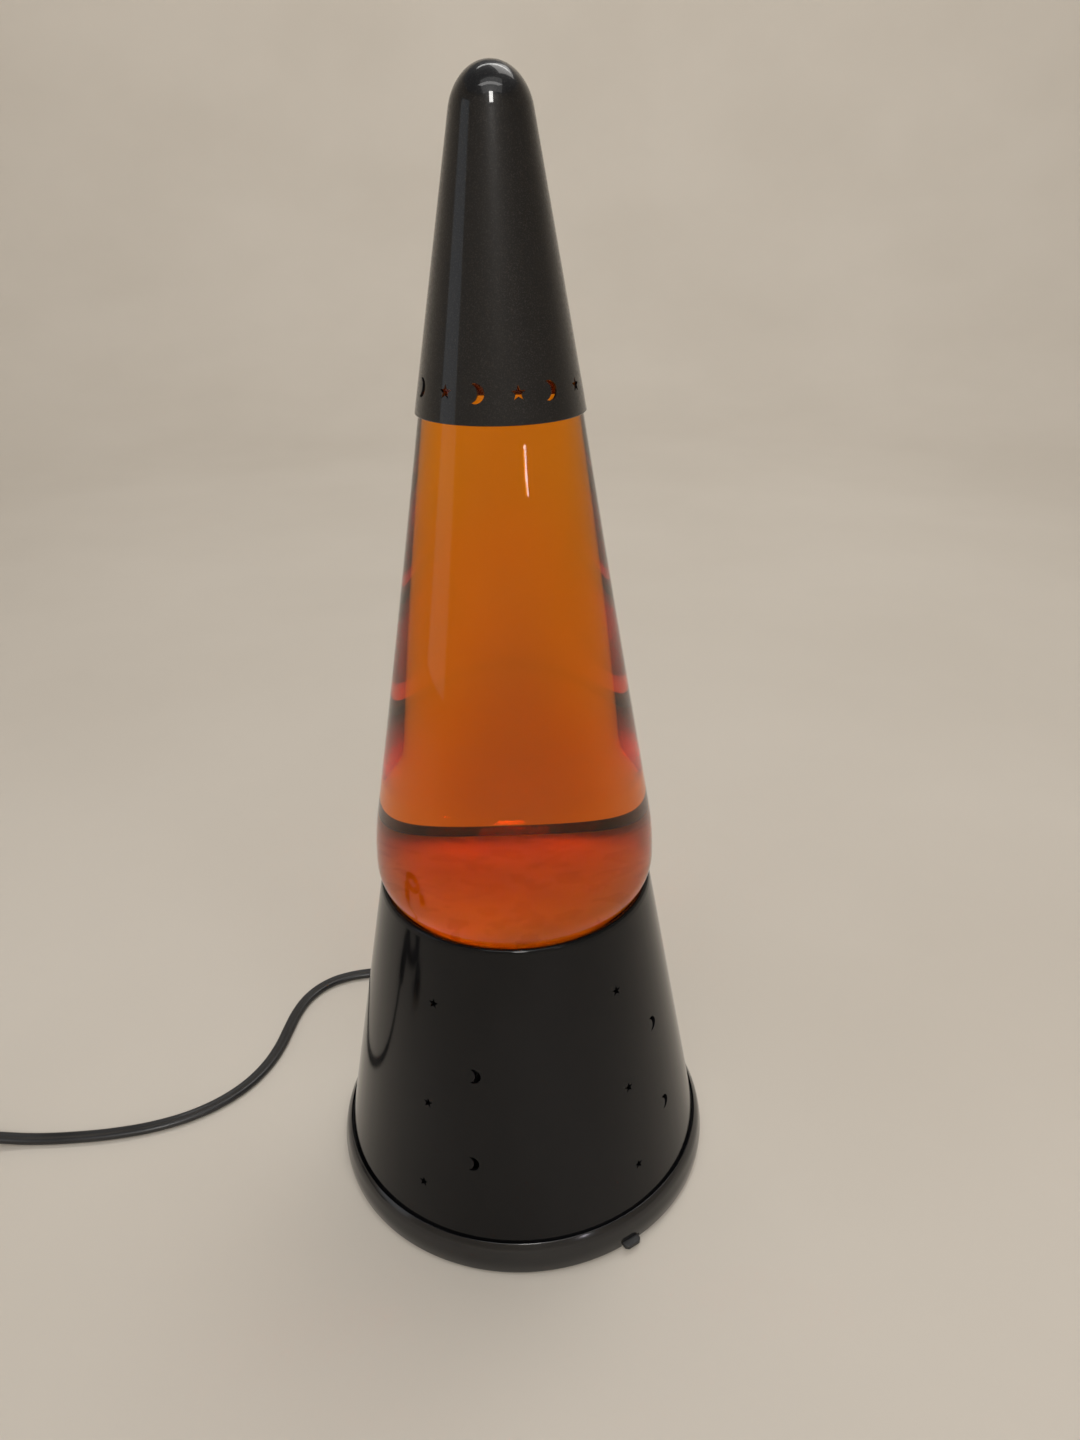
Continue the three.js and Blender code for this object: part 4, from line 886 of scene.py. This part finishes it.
def make_socket():
    inner = SOCKET_RADIUS - SOCKET_WALL
    cup = [
        (0, SOCKET_BOTTOM_Z), (SOCKET_RADIUS - 1.5, SOCKET_BOTTOM_Z, 0.6),
        (SOCKET_RADIUS, SOCKET_BOTTOM_Z + 1.5, 0.6),
        (SOCKET_RADIUS, FLANGE_Z, 0.2), (SOCKET_RADIUS + 3, FLANGE_Z, 0.4),
        (SOCKET_RADIUS + 3, FLANGE_Z + 2, 0.6), (SOCKET_RADIUS, SOCKET_TOP_Z, 1),
        (inner, SOCKET_TOP_Z, 0.6), (inner, SOCKET_BOTTOM_Z + 2.4, 0.6), (0, SOCKET_BOTTOM_Z + 2.4),
    ]
    housing = revolve("socket_cup", rounded(cup, 0.3), 96)
    cut(housing, [rod(1.8, 0, 16, 20, at(side * TERMINAL_X, 0)) for side in (-1, 1)])
    placed(housing, "phenolic", "base", "socket_housing")
    bottom = SOCKET_BOTTOM_Z + 8
    ridged = threads(SLEEVE_OUTER - 0.5, SLEEVE_OUTER - 1, bottom, 4)
    sleeve = [(SLEEVE_OUTER, bottom), (SLEEVE_OUTER, ridged[-1][1]), *ridged[::-1]]
    placed(revolve("socket_sleeve", sleeve, 72), "brass", "base", "socket_screw_shell")
    head = SOCKET_BOTTOM_Z - GAP
    end = SOCKET_BOTTOM_Z + 2.2
    screw = [(0, head - 2), (3, head - 2, 0.7), (3, head, 0.2), (1.5, head, 0), (1.5, end, 0.3), (0, end)]
    for i, side in enumerate((-1, 1), 1):
        place = at(side * TERMINAL_X, 0)
        piece = revolve(f"terminal_screw_body_{i}", rounded(screw, 0.1), 32, place)
        cut(piece, [block("bar", (-4, -0.4, 5), (4, 0.4, head - 1.2), place)])
        placed(piece, "brass", "base", f"terminal_screw_{i}")
    rivet_top = COVER_TOP_Z + 2 * GAP + 1.2
    under = COVER_BOTTOM_Z - GAP
    rivet = [
        (0, under - 1), (2.2, under - 1, 0.9), (2.9, under, 0.2), (1.55, under, 0),
        (1.55, rivet_top, 0), (2.9, rivet_top, 0.2), (2.2, rivet_top + 1, 0.9), (0, rivet_top + 1),
    ]
    for i, side in enumerate((-1, 1), 1):
        piece = revolve(f"rivet_{i}", rounded(rivet, 0.1), 32, at(side * BRACKET_FOOT, 0))
        placed(piece, "zinc_steel", "base", f"bracket_rivet_{i}")


def make_bulb():
    ball = (0, BULB_TOP_Z - BULB_RADIUS)
    neck_z, wall = BULB_CONTACT_Z + 27, 0.9
    neck = [(BULB_CAP_RADIUS - 1.8, neck_z - 1.2), (12.2, neck_z + 1.5), (13.4, neck_z + 4)]
    outer = [*neck, *arc(ball, BULB_RADIUS, -40, 90, 24)[:-1], (0, BULB_TOP_Z)]
    inner = [(r - wall, z) for r, z in neck]
    inner += [*arc(ball, BULB_RADIUS - wall, -40, 90, 24)[:-1], (0, BULB_TOP_Z - wall)]
    placed(revolve("bulb_envelope", outer + inner[::-1], 96), "bulb_clear", "bulb", "bulb_glass")
    bottom = BULB_CONTACT_Z + 20
    stem = [(0, bottom), (6, bottom, 1), (6, bottom + 4, 2), (3, 52, 3), (3, 60, 2), (5, 63, 1), (0, 63)]
    posts = [prism("post", [(x * 0.45 + s, y * 0.45) for x, y in circle(1, 10)], 61, 73) for s in (-4, 4)]
    piece = combined(revolve("bulb_mount", rounded(stem, 1), 48), posts, "UNION")
    placed(piece, "bulb_clear", "bulb", "bulb_stem")
    turns, per_turn, span, wound = 26, 8, 12.0, 0.45
    steps = turns * per_turn
    path = []
    for i in range(steps + 1):
        y, z = polar(wound, 2 * math.pi * i / per_turn)
        path.append(Vector((span * (i / steps - 0.5), 0.7 + y, 74.2 + z)))
    filament = sweep("filament_coil", path, circle(0.11, 6), up=Vector((0, 0.1, 1)))
    placed(filament, "filament_wire", "bulb", "bulb_filament")
    low, high, root = BULB_CONTACT_Z + 4.5, BULB_CONTACT_Z + 25.5, BULB_CAP_RADIUS - 0.7
    lip = BULB_CAP_RADIUS - 0.3
    shell = [(8.5, low), *threads(root, BULB_CAP_RADIUS, low + 3, 4), (lip, high - 1), (lip, high)]
    shell += [(root - 0.5, high), (root - 0.5, low + 3.4), (8, low + 0.5)]
    placed(revolve("bulb_thread", shell, 72), "bulb_aluminium", "bulb", "bulb_screw_cap")
    low = BULB_CONTACT_Z + 1.3
    insulator = rounded([(0, 0), (4.5, 0, 0.4), (7.7, 3, 0.6), (7.7, 4.5, 0.2), (0, 4.5)], 0.3)
    piece = revolve("bulb_insulator_glass", insulator, 64, at(0, 0, low))
    placed(piece, "black_glass", "bulb_carrier", "bulb_insulator")
    tip = rounded([(0, 0), (3, 0.4, 1), (3.6, 1, 0.2), (0, 1)], 0.3)
    placed(revolve("bulb_tip", tip, 48, at(0, 0, BULB_CONTACT_Z)), "solder", "bulb_carrier", "bulb_contact")


# ---------------------------------------------------------------- cord, switch and plug
# The CAD cord's route: out behind the lamp's left side, forward, and away to the left.
CORD_TO_SWITCH = [
    (-51.0, 88.4, 8.0), (-52.5, 91.0, 7.8), (-56.0, 95.6, 6.8), (-60.8, 99.2, 5.1),
    (-66.3, 101.5, 3.5), (-73.0, 102.4, 2.5), (-81.5, 102.1, 2.0), (-90.5, 100.4, 2.0),
    (-99.5, 96.8, 2.0), (-107.0, 90.6, 2.0), (-112.6, 82.0, 2.0), (-116.0, 71.8, 2.0),
    (-118.0, 61.0, 2.0), (-120.0, 49.5, 2.0), (-123.8, 37.5, 2.0), (-130.5, 25.5, 2.0),
    (-140.5, 15.0, 2.0), (-153.5, 6.8, 2.0), (-169.0, 1.3, 2.0), (-186.5, -1.8, 2.0),
    (-205.0, -3.0, 2.0), (-222.0, -3.0, 2.2), (-240.0, -3.0, 4.4), (-257.7, -3.0, 6.5),
]
CORD_THROUGH_SWITCH = [(-270.0, -3.0, 6.5), (-292.0, -3.0, 6.5), (-304.3, -3.0, 6.5), (-313.0, -3.0, 6.5)]
CORD_TO_PLUG = [(-324.5, -79.0, 8.6), (-313.0, -79.0, 7.8), (-302.5, -79.0, 7.1), (-292.3, -79.0, 7.0)]


def coil_points():
    """Six and a half turns, each in its own place in the stack, from the coil's north side to its south."""
    low, middle, high = COIL_LEVELS
    inner = COIL_MEAN_RADIUS - COIL_STEP
    places = [(OUTER_TURN, middle), (OUTER_TURN, low), (COIL_MEAN_RADIUS, low), (inner, low)]
    places += [(inner, middle), (COIL_MEAN_RADIUS, middle), (OUTER_TURN, high)]
    per_turn, turns = 24, 6.5
    points = []
    for i in range(int(per_turn * turns) + 1):
        turn, part = divmod(i / per_turn, 1)
        here, after = places[int(turn)], places[min(int(turn) + 1, len(places) - 1)]
        t = min(max((part - 0.6) / 0.26, 0), 1)
        blend = t * t * (3 - 2 * t)
        radius = here[0] + (after[0] - here[0]) * blend
        height = here[1] + (after[1] - here[1]) * blend
        x, y = polar(radius, math.pi / 2 + 2 * math.pi * i / per_turn)
        points.append(Vector((COIL_X + x, COIL_Y + y, height)))
    return points


def mix(first, second, start, end, t):
    return first * ((end - t) / (end - start)) + second * ((t - start) / (end - start))


def smooth_path(points, step):
    """A centripetal Catmull-Rom curve through the points, in pieces about a step long."""
    path = []
    ends = [2 * points[0] - points[1], *points, 2 * points[-1] - points[-2]]
    for p0, p1, p2, p3 in zip(ends, ends[1:], ends[2:], ends[3:]):
        knots = [0.0]
        for a, b in ((p0, p1), (p1, p2), (p2, p3)):
            knots.append(knots[-1] + max((b - a).length, 1e-6) ** 0.5)
        t0, t1, t2, t3 = knots
        count = max(1, round((p2 - p1).length / step))
        for i in range(count):
            t = t1 + (t2 - t1) * i / count
            a1, a2, a3 = mix(p0, p1, t0, t1, t), mix(p1, p2, t1, t2, t), mix(p2, p3, t2, t3, t)
            path.append(mix(mix(a1, a2, t0, t2, t), mix(a2, a3, t1, t3, t), t1, t2, t))
    return [*path, points[-1]]


def twin_section():
    """Two round cores side by side, webbed in the middle."""
    radius = CORD_THICKNESS / 2
    offset = CORD_WIDTH / 2 - radius
    open_angle = 125
    right = arc((offset, 0), radius, -open_angle, open_angle, 10)
    return right + [(-x, -y) for x, y in right]


def make_cord():
    to_coil = [Vector(p) for p in CORD_TO_SWITCH + CORD_THROUGH_SWITCH]
    path = smooth_path(to_coil + coil_points() + [Vector(p) for p in CORD_TO_PLUG], 2.5)
    cord = sweep("power_cord", path, twin_section(), sharp=60)
    placed(cord, "cord_pvc", "base", "cord_to_switch", "cord_to_coil", "cord_coil", "cord_to_plug")


def make_strain_relief():
    """Ribbed and tapered, flattened like the cord."""
    stem = 4.9
    profile = [(0, 70), (4.2, 70, 0.3), (stem, 71.6, 0.3)]
    profile += [(stem, FOOT_RADIUS + 0.6, 0), (5.7, FOOT_RADIUS + 0.6, 0.3)]
    profile += [(5.7, FOOT_RADIUS + 2.2, 0.5), (stem, FOOT_RADIUS + 2.6, 0.2)]
    ribs, start, end = 5, FOOT_RADIUS + 3.6, GLAND_TIP - 2.4
    for i in range(ribs):
        near, far = start + (end - start) * i / ribs, start + (end - start) * (i + 0.55) / ribs
        width = stem - 1.0 * (near - start) / (end - start)
        profile += [(width, near, 0.25), (width - 0.15, far, 0.25)]
        profile += [(width - 0.75, far + 0.1, 0.2), (width - 0.8, far + 1.3, 0.2)]
    profile += [(3.7, GLAND_TIP - 1.6, 0.3), (3.6, GLAND_TIP, 0.3), (0, GLAND_TIP)]
    place = gland_place() @ Matrix.Diagonal((1, 0.72, 1, 1))
    piece = revolve("strain_relief_boot", rounded(profile, 0.2, 3), 48, place)
    return placed(piece, "cord_pvc", "base", "strain_relief")


def rounded_slab(name, centre, size, corner, bottom, top):
    steps = 8
    half_x, half_y = size[0] / 2 - corner, size[1] / 2 - corner
    outline = []
    for turn, (sx, sy) in enumerate(((1, 1), (-1, 1), (-1, -1), (1, -1))):
        for i in range(steps + 1):
            x, y = polar(corner, math.pi / 2 * (turn + i / steps))
            outline.append((centre[0] + sx * half_x + x, centre[1] + sy * half_y + y))
    return prism(name, outline, bottom, top)


def make_switch():
    """Two case halves, the knurled wheel and the screw."""
    centre = (SWITCH_CENTRE_X, CORD_LINE_Y)
    size = (SWITCH_LENGTH, SWITCH_WIDTH)
    well_low, well_high = SWITCH_MIDDLE_Z - WHEEL_HALF - GAP, SWITCH_MIDDLE_Z + WHEEL_HALF + GAP
    channel_low = (SWITCH_END_X - 1, CORD_LINE_Y - 3.1, SWITCH_MIDDLE_Z - 1.7)
    channel_high = (SWITCH_START_X + 1, CORD_LINE_Y + 3.1, SWITCH_MIDDLE_Z + 1.7)
    screw_place = at(SWITCH_CENTRE_X, SWITCH_SCREW_Y)
    seat, above = SWITCH_HEIGHT - 2, SWITCH_HEIGHT + 1
    hole = [(0, -1), (1.7, -1), (1.7, seat), (2.9, seat), (2.9, above), (0, above)]
    lid = at(SWITCH_CENTRE_X, CORD_LINE_Y, SWITCH_HEIGHT)
    grooves = (-19, -17, -15, -13, 13, 15, 17, 19)
    made = []
    for name, node, bottom, top in (
        ("switch_lower_shell", "switch_case_lower", 0.0, SWITCH_MIDDLE_Z - GAP / 2),
        ("switch_upper_shell", "switch_case_upper", SWITCH_MIDDLE_Z + GAP / 2, SWITCH_HEIGHT),
    ):
        half = bevelled(rounded_slab(name, centre, size, 5, bottom, top), 0.5)
        cut(half, [rod(WHEEL_RADIUS + 0.6, well_low, well_high, 64, at(SWITCH_CENTRE_X, WHEEL_Y))])
        cut(half, [revolve("hole", hole, 32, screw_place)])
        cut(half, [block("channel", channel_low, channel_high)])
        if top == SWITCH_HEIGHT:
            cut(half, [block("groove", (-0.4, -5, -0.4), (0.4, 5, 1), at(x, 0) @ lid) for x in grooves])
        made.append(placed(half, "switch_plastic", "base", node))
    teeth, per_tooth, depth = 30, 4, 0.25
    outline = []
    for i in range(teeth * per_tooth):
        radius = WHEEL_RADIUS - depth + depth * math.cos(2 * math.pi * i / per_tooth)
        x, y = polar(radius, 2 * math.pi * i / (teeth * per_tooth))
        outline.append((SWITCH_CENTRE_X + x, WHEEL_Y + y))
    low, high = SWITCH_MIDDLE_Z - WHEEL_HALF, SWITCH_MIDDLE_Z + WHEEL_HALF
    wheel = bevelled(prism("switch_thumb_wheel", outline, low, high), 0.3, 2, 60)
    made.append(placed(wheel, "wheel_plastic", "switch_wheel_body", "switch_wheel"))
    head = seat + GAP
    profile = [(0, 1.5), (1.3, 1.5, 0.2), (1.3, head, 0), (2.5, head, 0.1)]
    profile += [(2.5, head + 1.2, 0.6), (0, head + 1.2)]
    screw = revolve("switch_screw_body", rounded(profile, 0.2), 32, screw_place)
    cut(screw, [block("bar", (-3, -0.4, head + 0.6), (3, 0.4, head + 2), screw_place)])
    made.append(placed(screw, "zinc_steel", "base", "switch_screw"))
    return made


def make_tie():
    """A strip round the coil's turns, closed into a loop."""
    half, low, high = COIL_STEP * 1.5 + 0.6, COIL_LEVELS[0] - 2.3, COIL_LEVELS[2] + 2.1
    ring = rounded([(-half, low), (half, low), (half, high), (-half, high)], 2.4, 6)
    out = Vector((*polar(1, math.radians(TIE_ANGLE)), 0))
    centre = Vector((COIL_X, COIL_Y, 0)) + out * COIL_MEAN_RADIUS
    path = [centre + out * x + Vector((0, 0, z)) for x, z in ring]
    along = Vector((-out.y, out.x, 0))
    section = [(-0.25, -2.0), (0.25, -2.0), (0.25, 2.0), (-0.25, 2.0)]
    strip = sweep("coil_tie", path, section, up=along, closed=True)
    return placed(strip, "tie_plastic", "base", "cord_tie")


def make_plug():
    half, middle_z = PLUG_WIDTH / 2, PLUG_HEIGHT / 2
    edge = [(0, -4.2, 1), (9, -6.5, 3), (14, -half, 3), (PLUG_LENGTH, -half, 1.5)]
    outline = rounded(edge + [(x, -y, corner) for x, y, corner in edge[::-1]], 1, 6)
    outline = [(PLUG_START_X + x, PLUG_Y + y) for x, y in outline]
    body = bevelled(prism("plug_moulding", outline, 0, PLUG_HEIGHT), 2.2, 5)
    first_grip = at(PLUG_START_X + 16, PLUG_Y, PLUG_HEIGHT)
    grips = [block("grip", (0, -8, -0.5), (1.1, 8, 1), at(2.4 * i, 0) @ first_grip) for i in range(4)]
    cut(body, grips)
    made = [placed(body, "switch_plastic", "base", "plug_body")]
    start = PLUG_START_X + PLUG_LENGTH
    for side, width, node in ((-1, 6.3, "plug_blade_narrow"), (1, 7.9, "plug_blade_wide")):
        y = PLUG_Y + side * BLADE_SPACING / 2
        turn = at(0, y) @ Matrix.Rotation(math.pi / 2, 4, "X")
        end, tip = start + GAP + BLADE_LENGTH, 1.4
        low, high = middle_z - width / 2, middle_z + width / 2
        outline = [(start - 1, low), (end - tip, low), (end, low + tip)]
        outline += [(end, high - tip), (end - tip, high), (start - 1, high)]
        blade = prism(node + "_strip", outline, -0.75, 0.75, turn)
        cut(blade, [prism("hole", [(end - 4 + x, middle_z + z) for x, z in circle(1.6, 24)], -3, 3, turn)])
        made.append(placed(bevelled(blade, 0.25, 2), "brass", "base", node))
    return made


# ---------------------------------------------------------------- build
cord_pieces = [make_strain_relief(), *make_switch(), make_tie(), *make_plug()]
make_cord()
make_cap()
make_globe()
make_liquid()
make_wax()
make_heater()
make_crown()
make_base_shell()
make_foot_ring()
make_cover()
make_feet_and_screws()
make_socket()
make_bulb()

KEPT_NODES = {
    "socket_bracket": "zinc_steel",
    "socket_centre_contact": "brass",
    "lead_wire_1": "wire_black",
    "lead_wire_2": "wire_white",
}
for node, slot in KEPT_NODES.items():
    materials_of_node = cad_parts[node].data.materials
    materials_of_node.clear()
    materials_of_node.append(materials[slot])


# ---------------------------------------------------------------- stage
def make_backdrop():
    """A flat round floor that curves up all round into a wall, far from the lamp."""
    flat, curve, height, corners = 1500.0, 1100.0, 2600.0, 96
    profile = [(flat * k, 0) for k in (0.25, 0.5, 0.75)] + arc((flat, curve), curve, -90, 0, 24)
    profile.append((flat + curve, height))
    points, faces = [(0, 0, 0)], []
    for radius, z in profile:
        points += [(x, y, z) for x, y in circle(radius, corners)]
    faces += [[0, 1 + i, 1 + (i + 1) % corners] for i in range(corners)]
    for row in range(len(profile) - 1):
        low, high = 1 + row * corners, 1 + (row + 1) * corners
        for i in range(corners):
            j = (i + 1) % corners
            faces.append([low + i, high + i, high + j, low + j])
    backdrop = mesh_piece("backdrop", points, faces, 80)
    surface = Surface("backdrop_paint")
    surface.colours(surface.noise(3, 4), (0.64, 0.59, 0.52), (0.67, 0.62, 0.55))
    surface.roughness(surface.noise(700, 2), 0.6, 0.75)
    surface.set(specular_ior_level=0.2)
    backdrop.data.materials.append(surface.material)


def make_light(name, place, aim, size, power, colour=(1, 1, 1)):
    data = bpy.data.lights.new(name, "AREA")
    data.shape = "RECTANGLE"
    data.size, data.size_y = size
    data.energy = power
    data.color = colour
    light = bpy.data.objects.new(name, data)
    light.location = place
    light.rotation_euler = (Vector(aim) - Vector(place)).to_track_quat("-Z", "Y").to_euler()
    light.visible_camera = False
    scene.collection.objects.link(light)


def make_world():
    world = bpy.data.worlds.new("studio")
    world.use_nodes = True
    background = world.node_tree.nodes["Background"]
    background.inputs["Color"].default_value = (0.96, 0.97, 1.0, 1)
    background.inputs["Strength"].default_value = 0.14
    scene.world = world


make_backdrop()
make_world()
make_light("wall_wash", (0.2, 0.9, 2.1), (0, 2.6, 0.6), (1.6, 0.8), 19, (1, 0.985, 0.96))
make_light("front_wash", (0, -0.9, 2.1), (0, -2.6, 0.6), (1.6, 0.8), 14, (1, 0.985, 0.96))
make_light("key", (0.5, 0.55, 1.7), (0, 0.15, 0.1), (0.8, 0.8), 5, (1, 0.97, 0.93))
make_light("left_card", (-0.9, -0.25, 0.45), (0, 0, 0.15), (0.4, 0.8), 0.5, (0.72, 0.85, 1))
make_light("ceiling", (0.1, -0.9, 2.0), (0, 0, 0.3), (1.6, 1.0), 4, (1, 0.99, 0.98))
make_light("front_card", (0.62, -1.1, 0.42), (0, 0, 0.14), (0.06, 0.07), 0.25, (0.92, 0.88, 1))
make_light("spot", (0.04, -1.5, 1.55), (0, 0, 0.35), (0.3, 0.6), 14, (1, 0.98, 0.95))
scene.view_settings.view_transform = "Standard"
# Light crosses glass, liquid and glass again on its way to the wax and back, so paths run long.
scene.cycles.max_bounces = 32
scene.cycles.diffuse_bounces = 12
scene.cycles.blur_glossy = 0
scene.cycles.transmission_bounces = 32
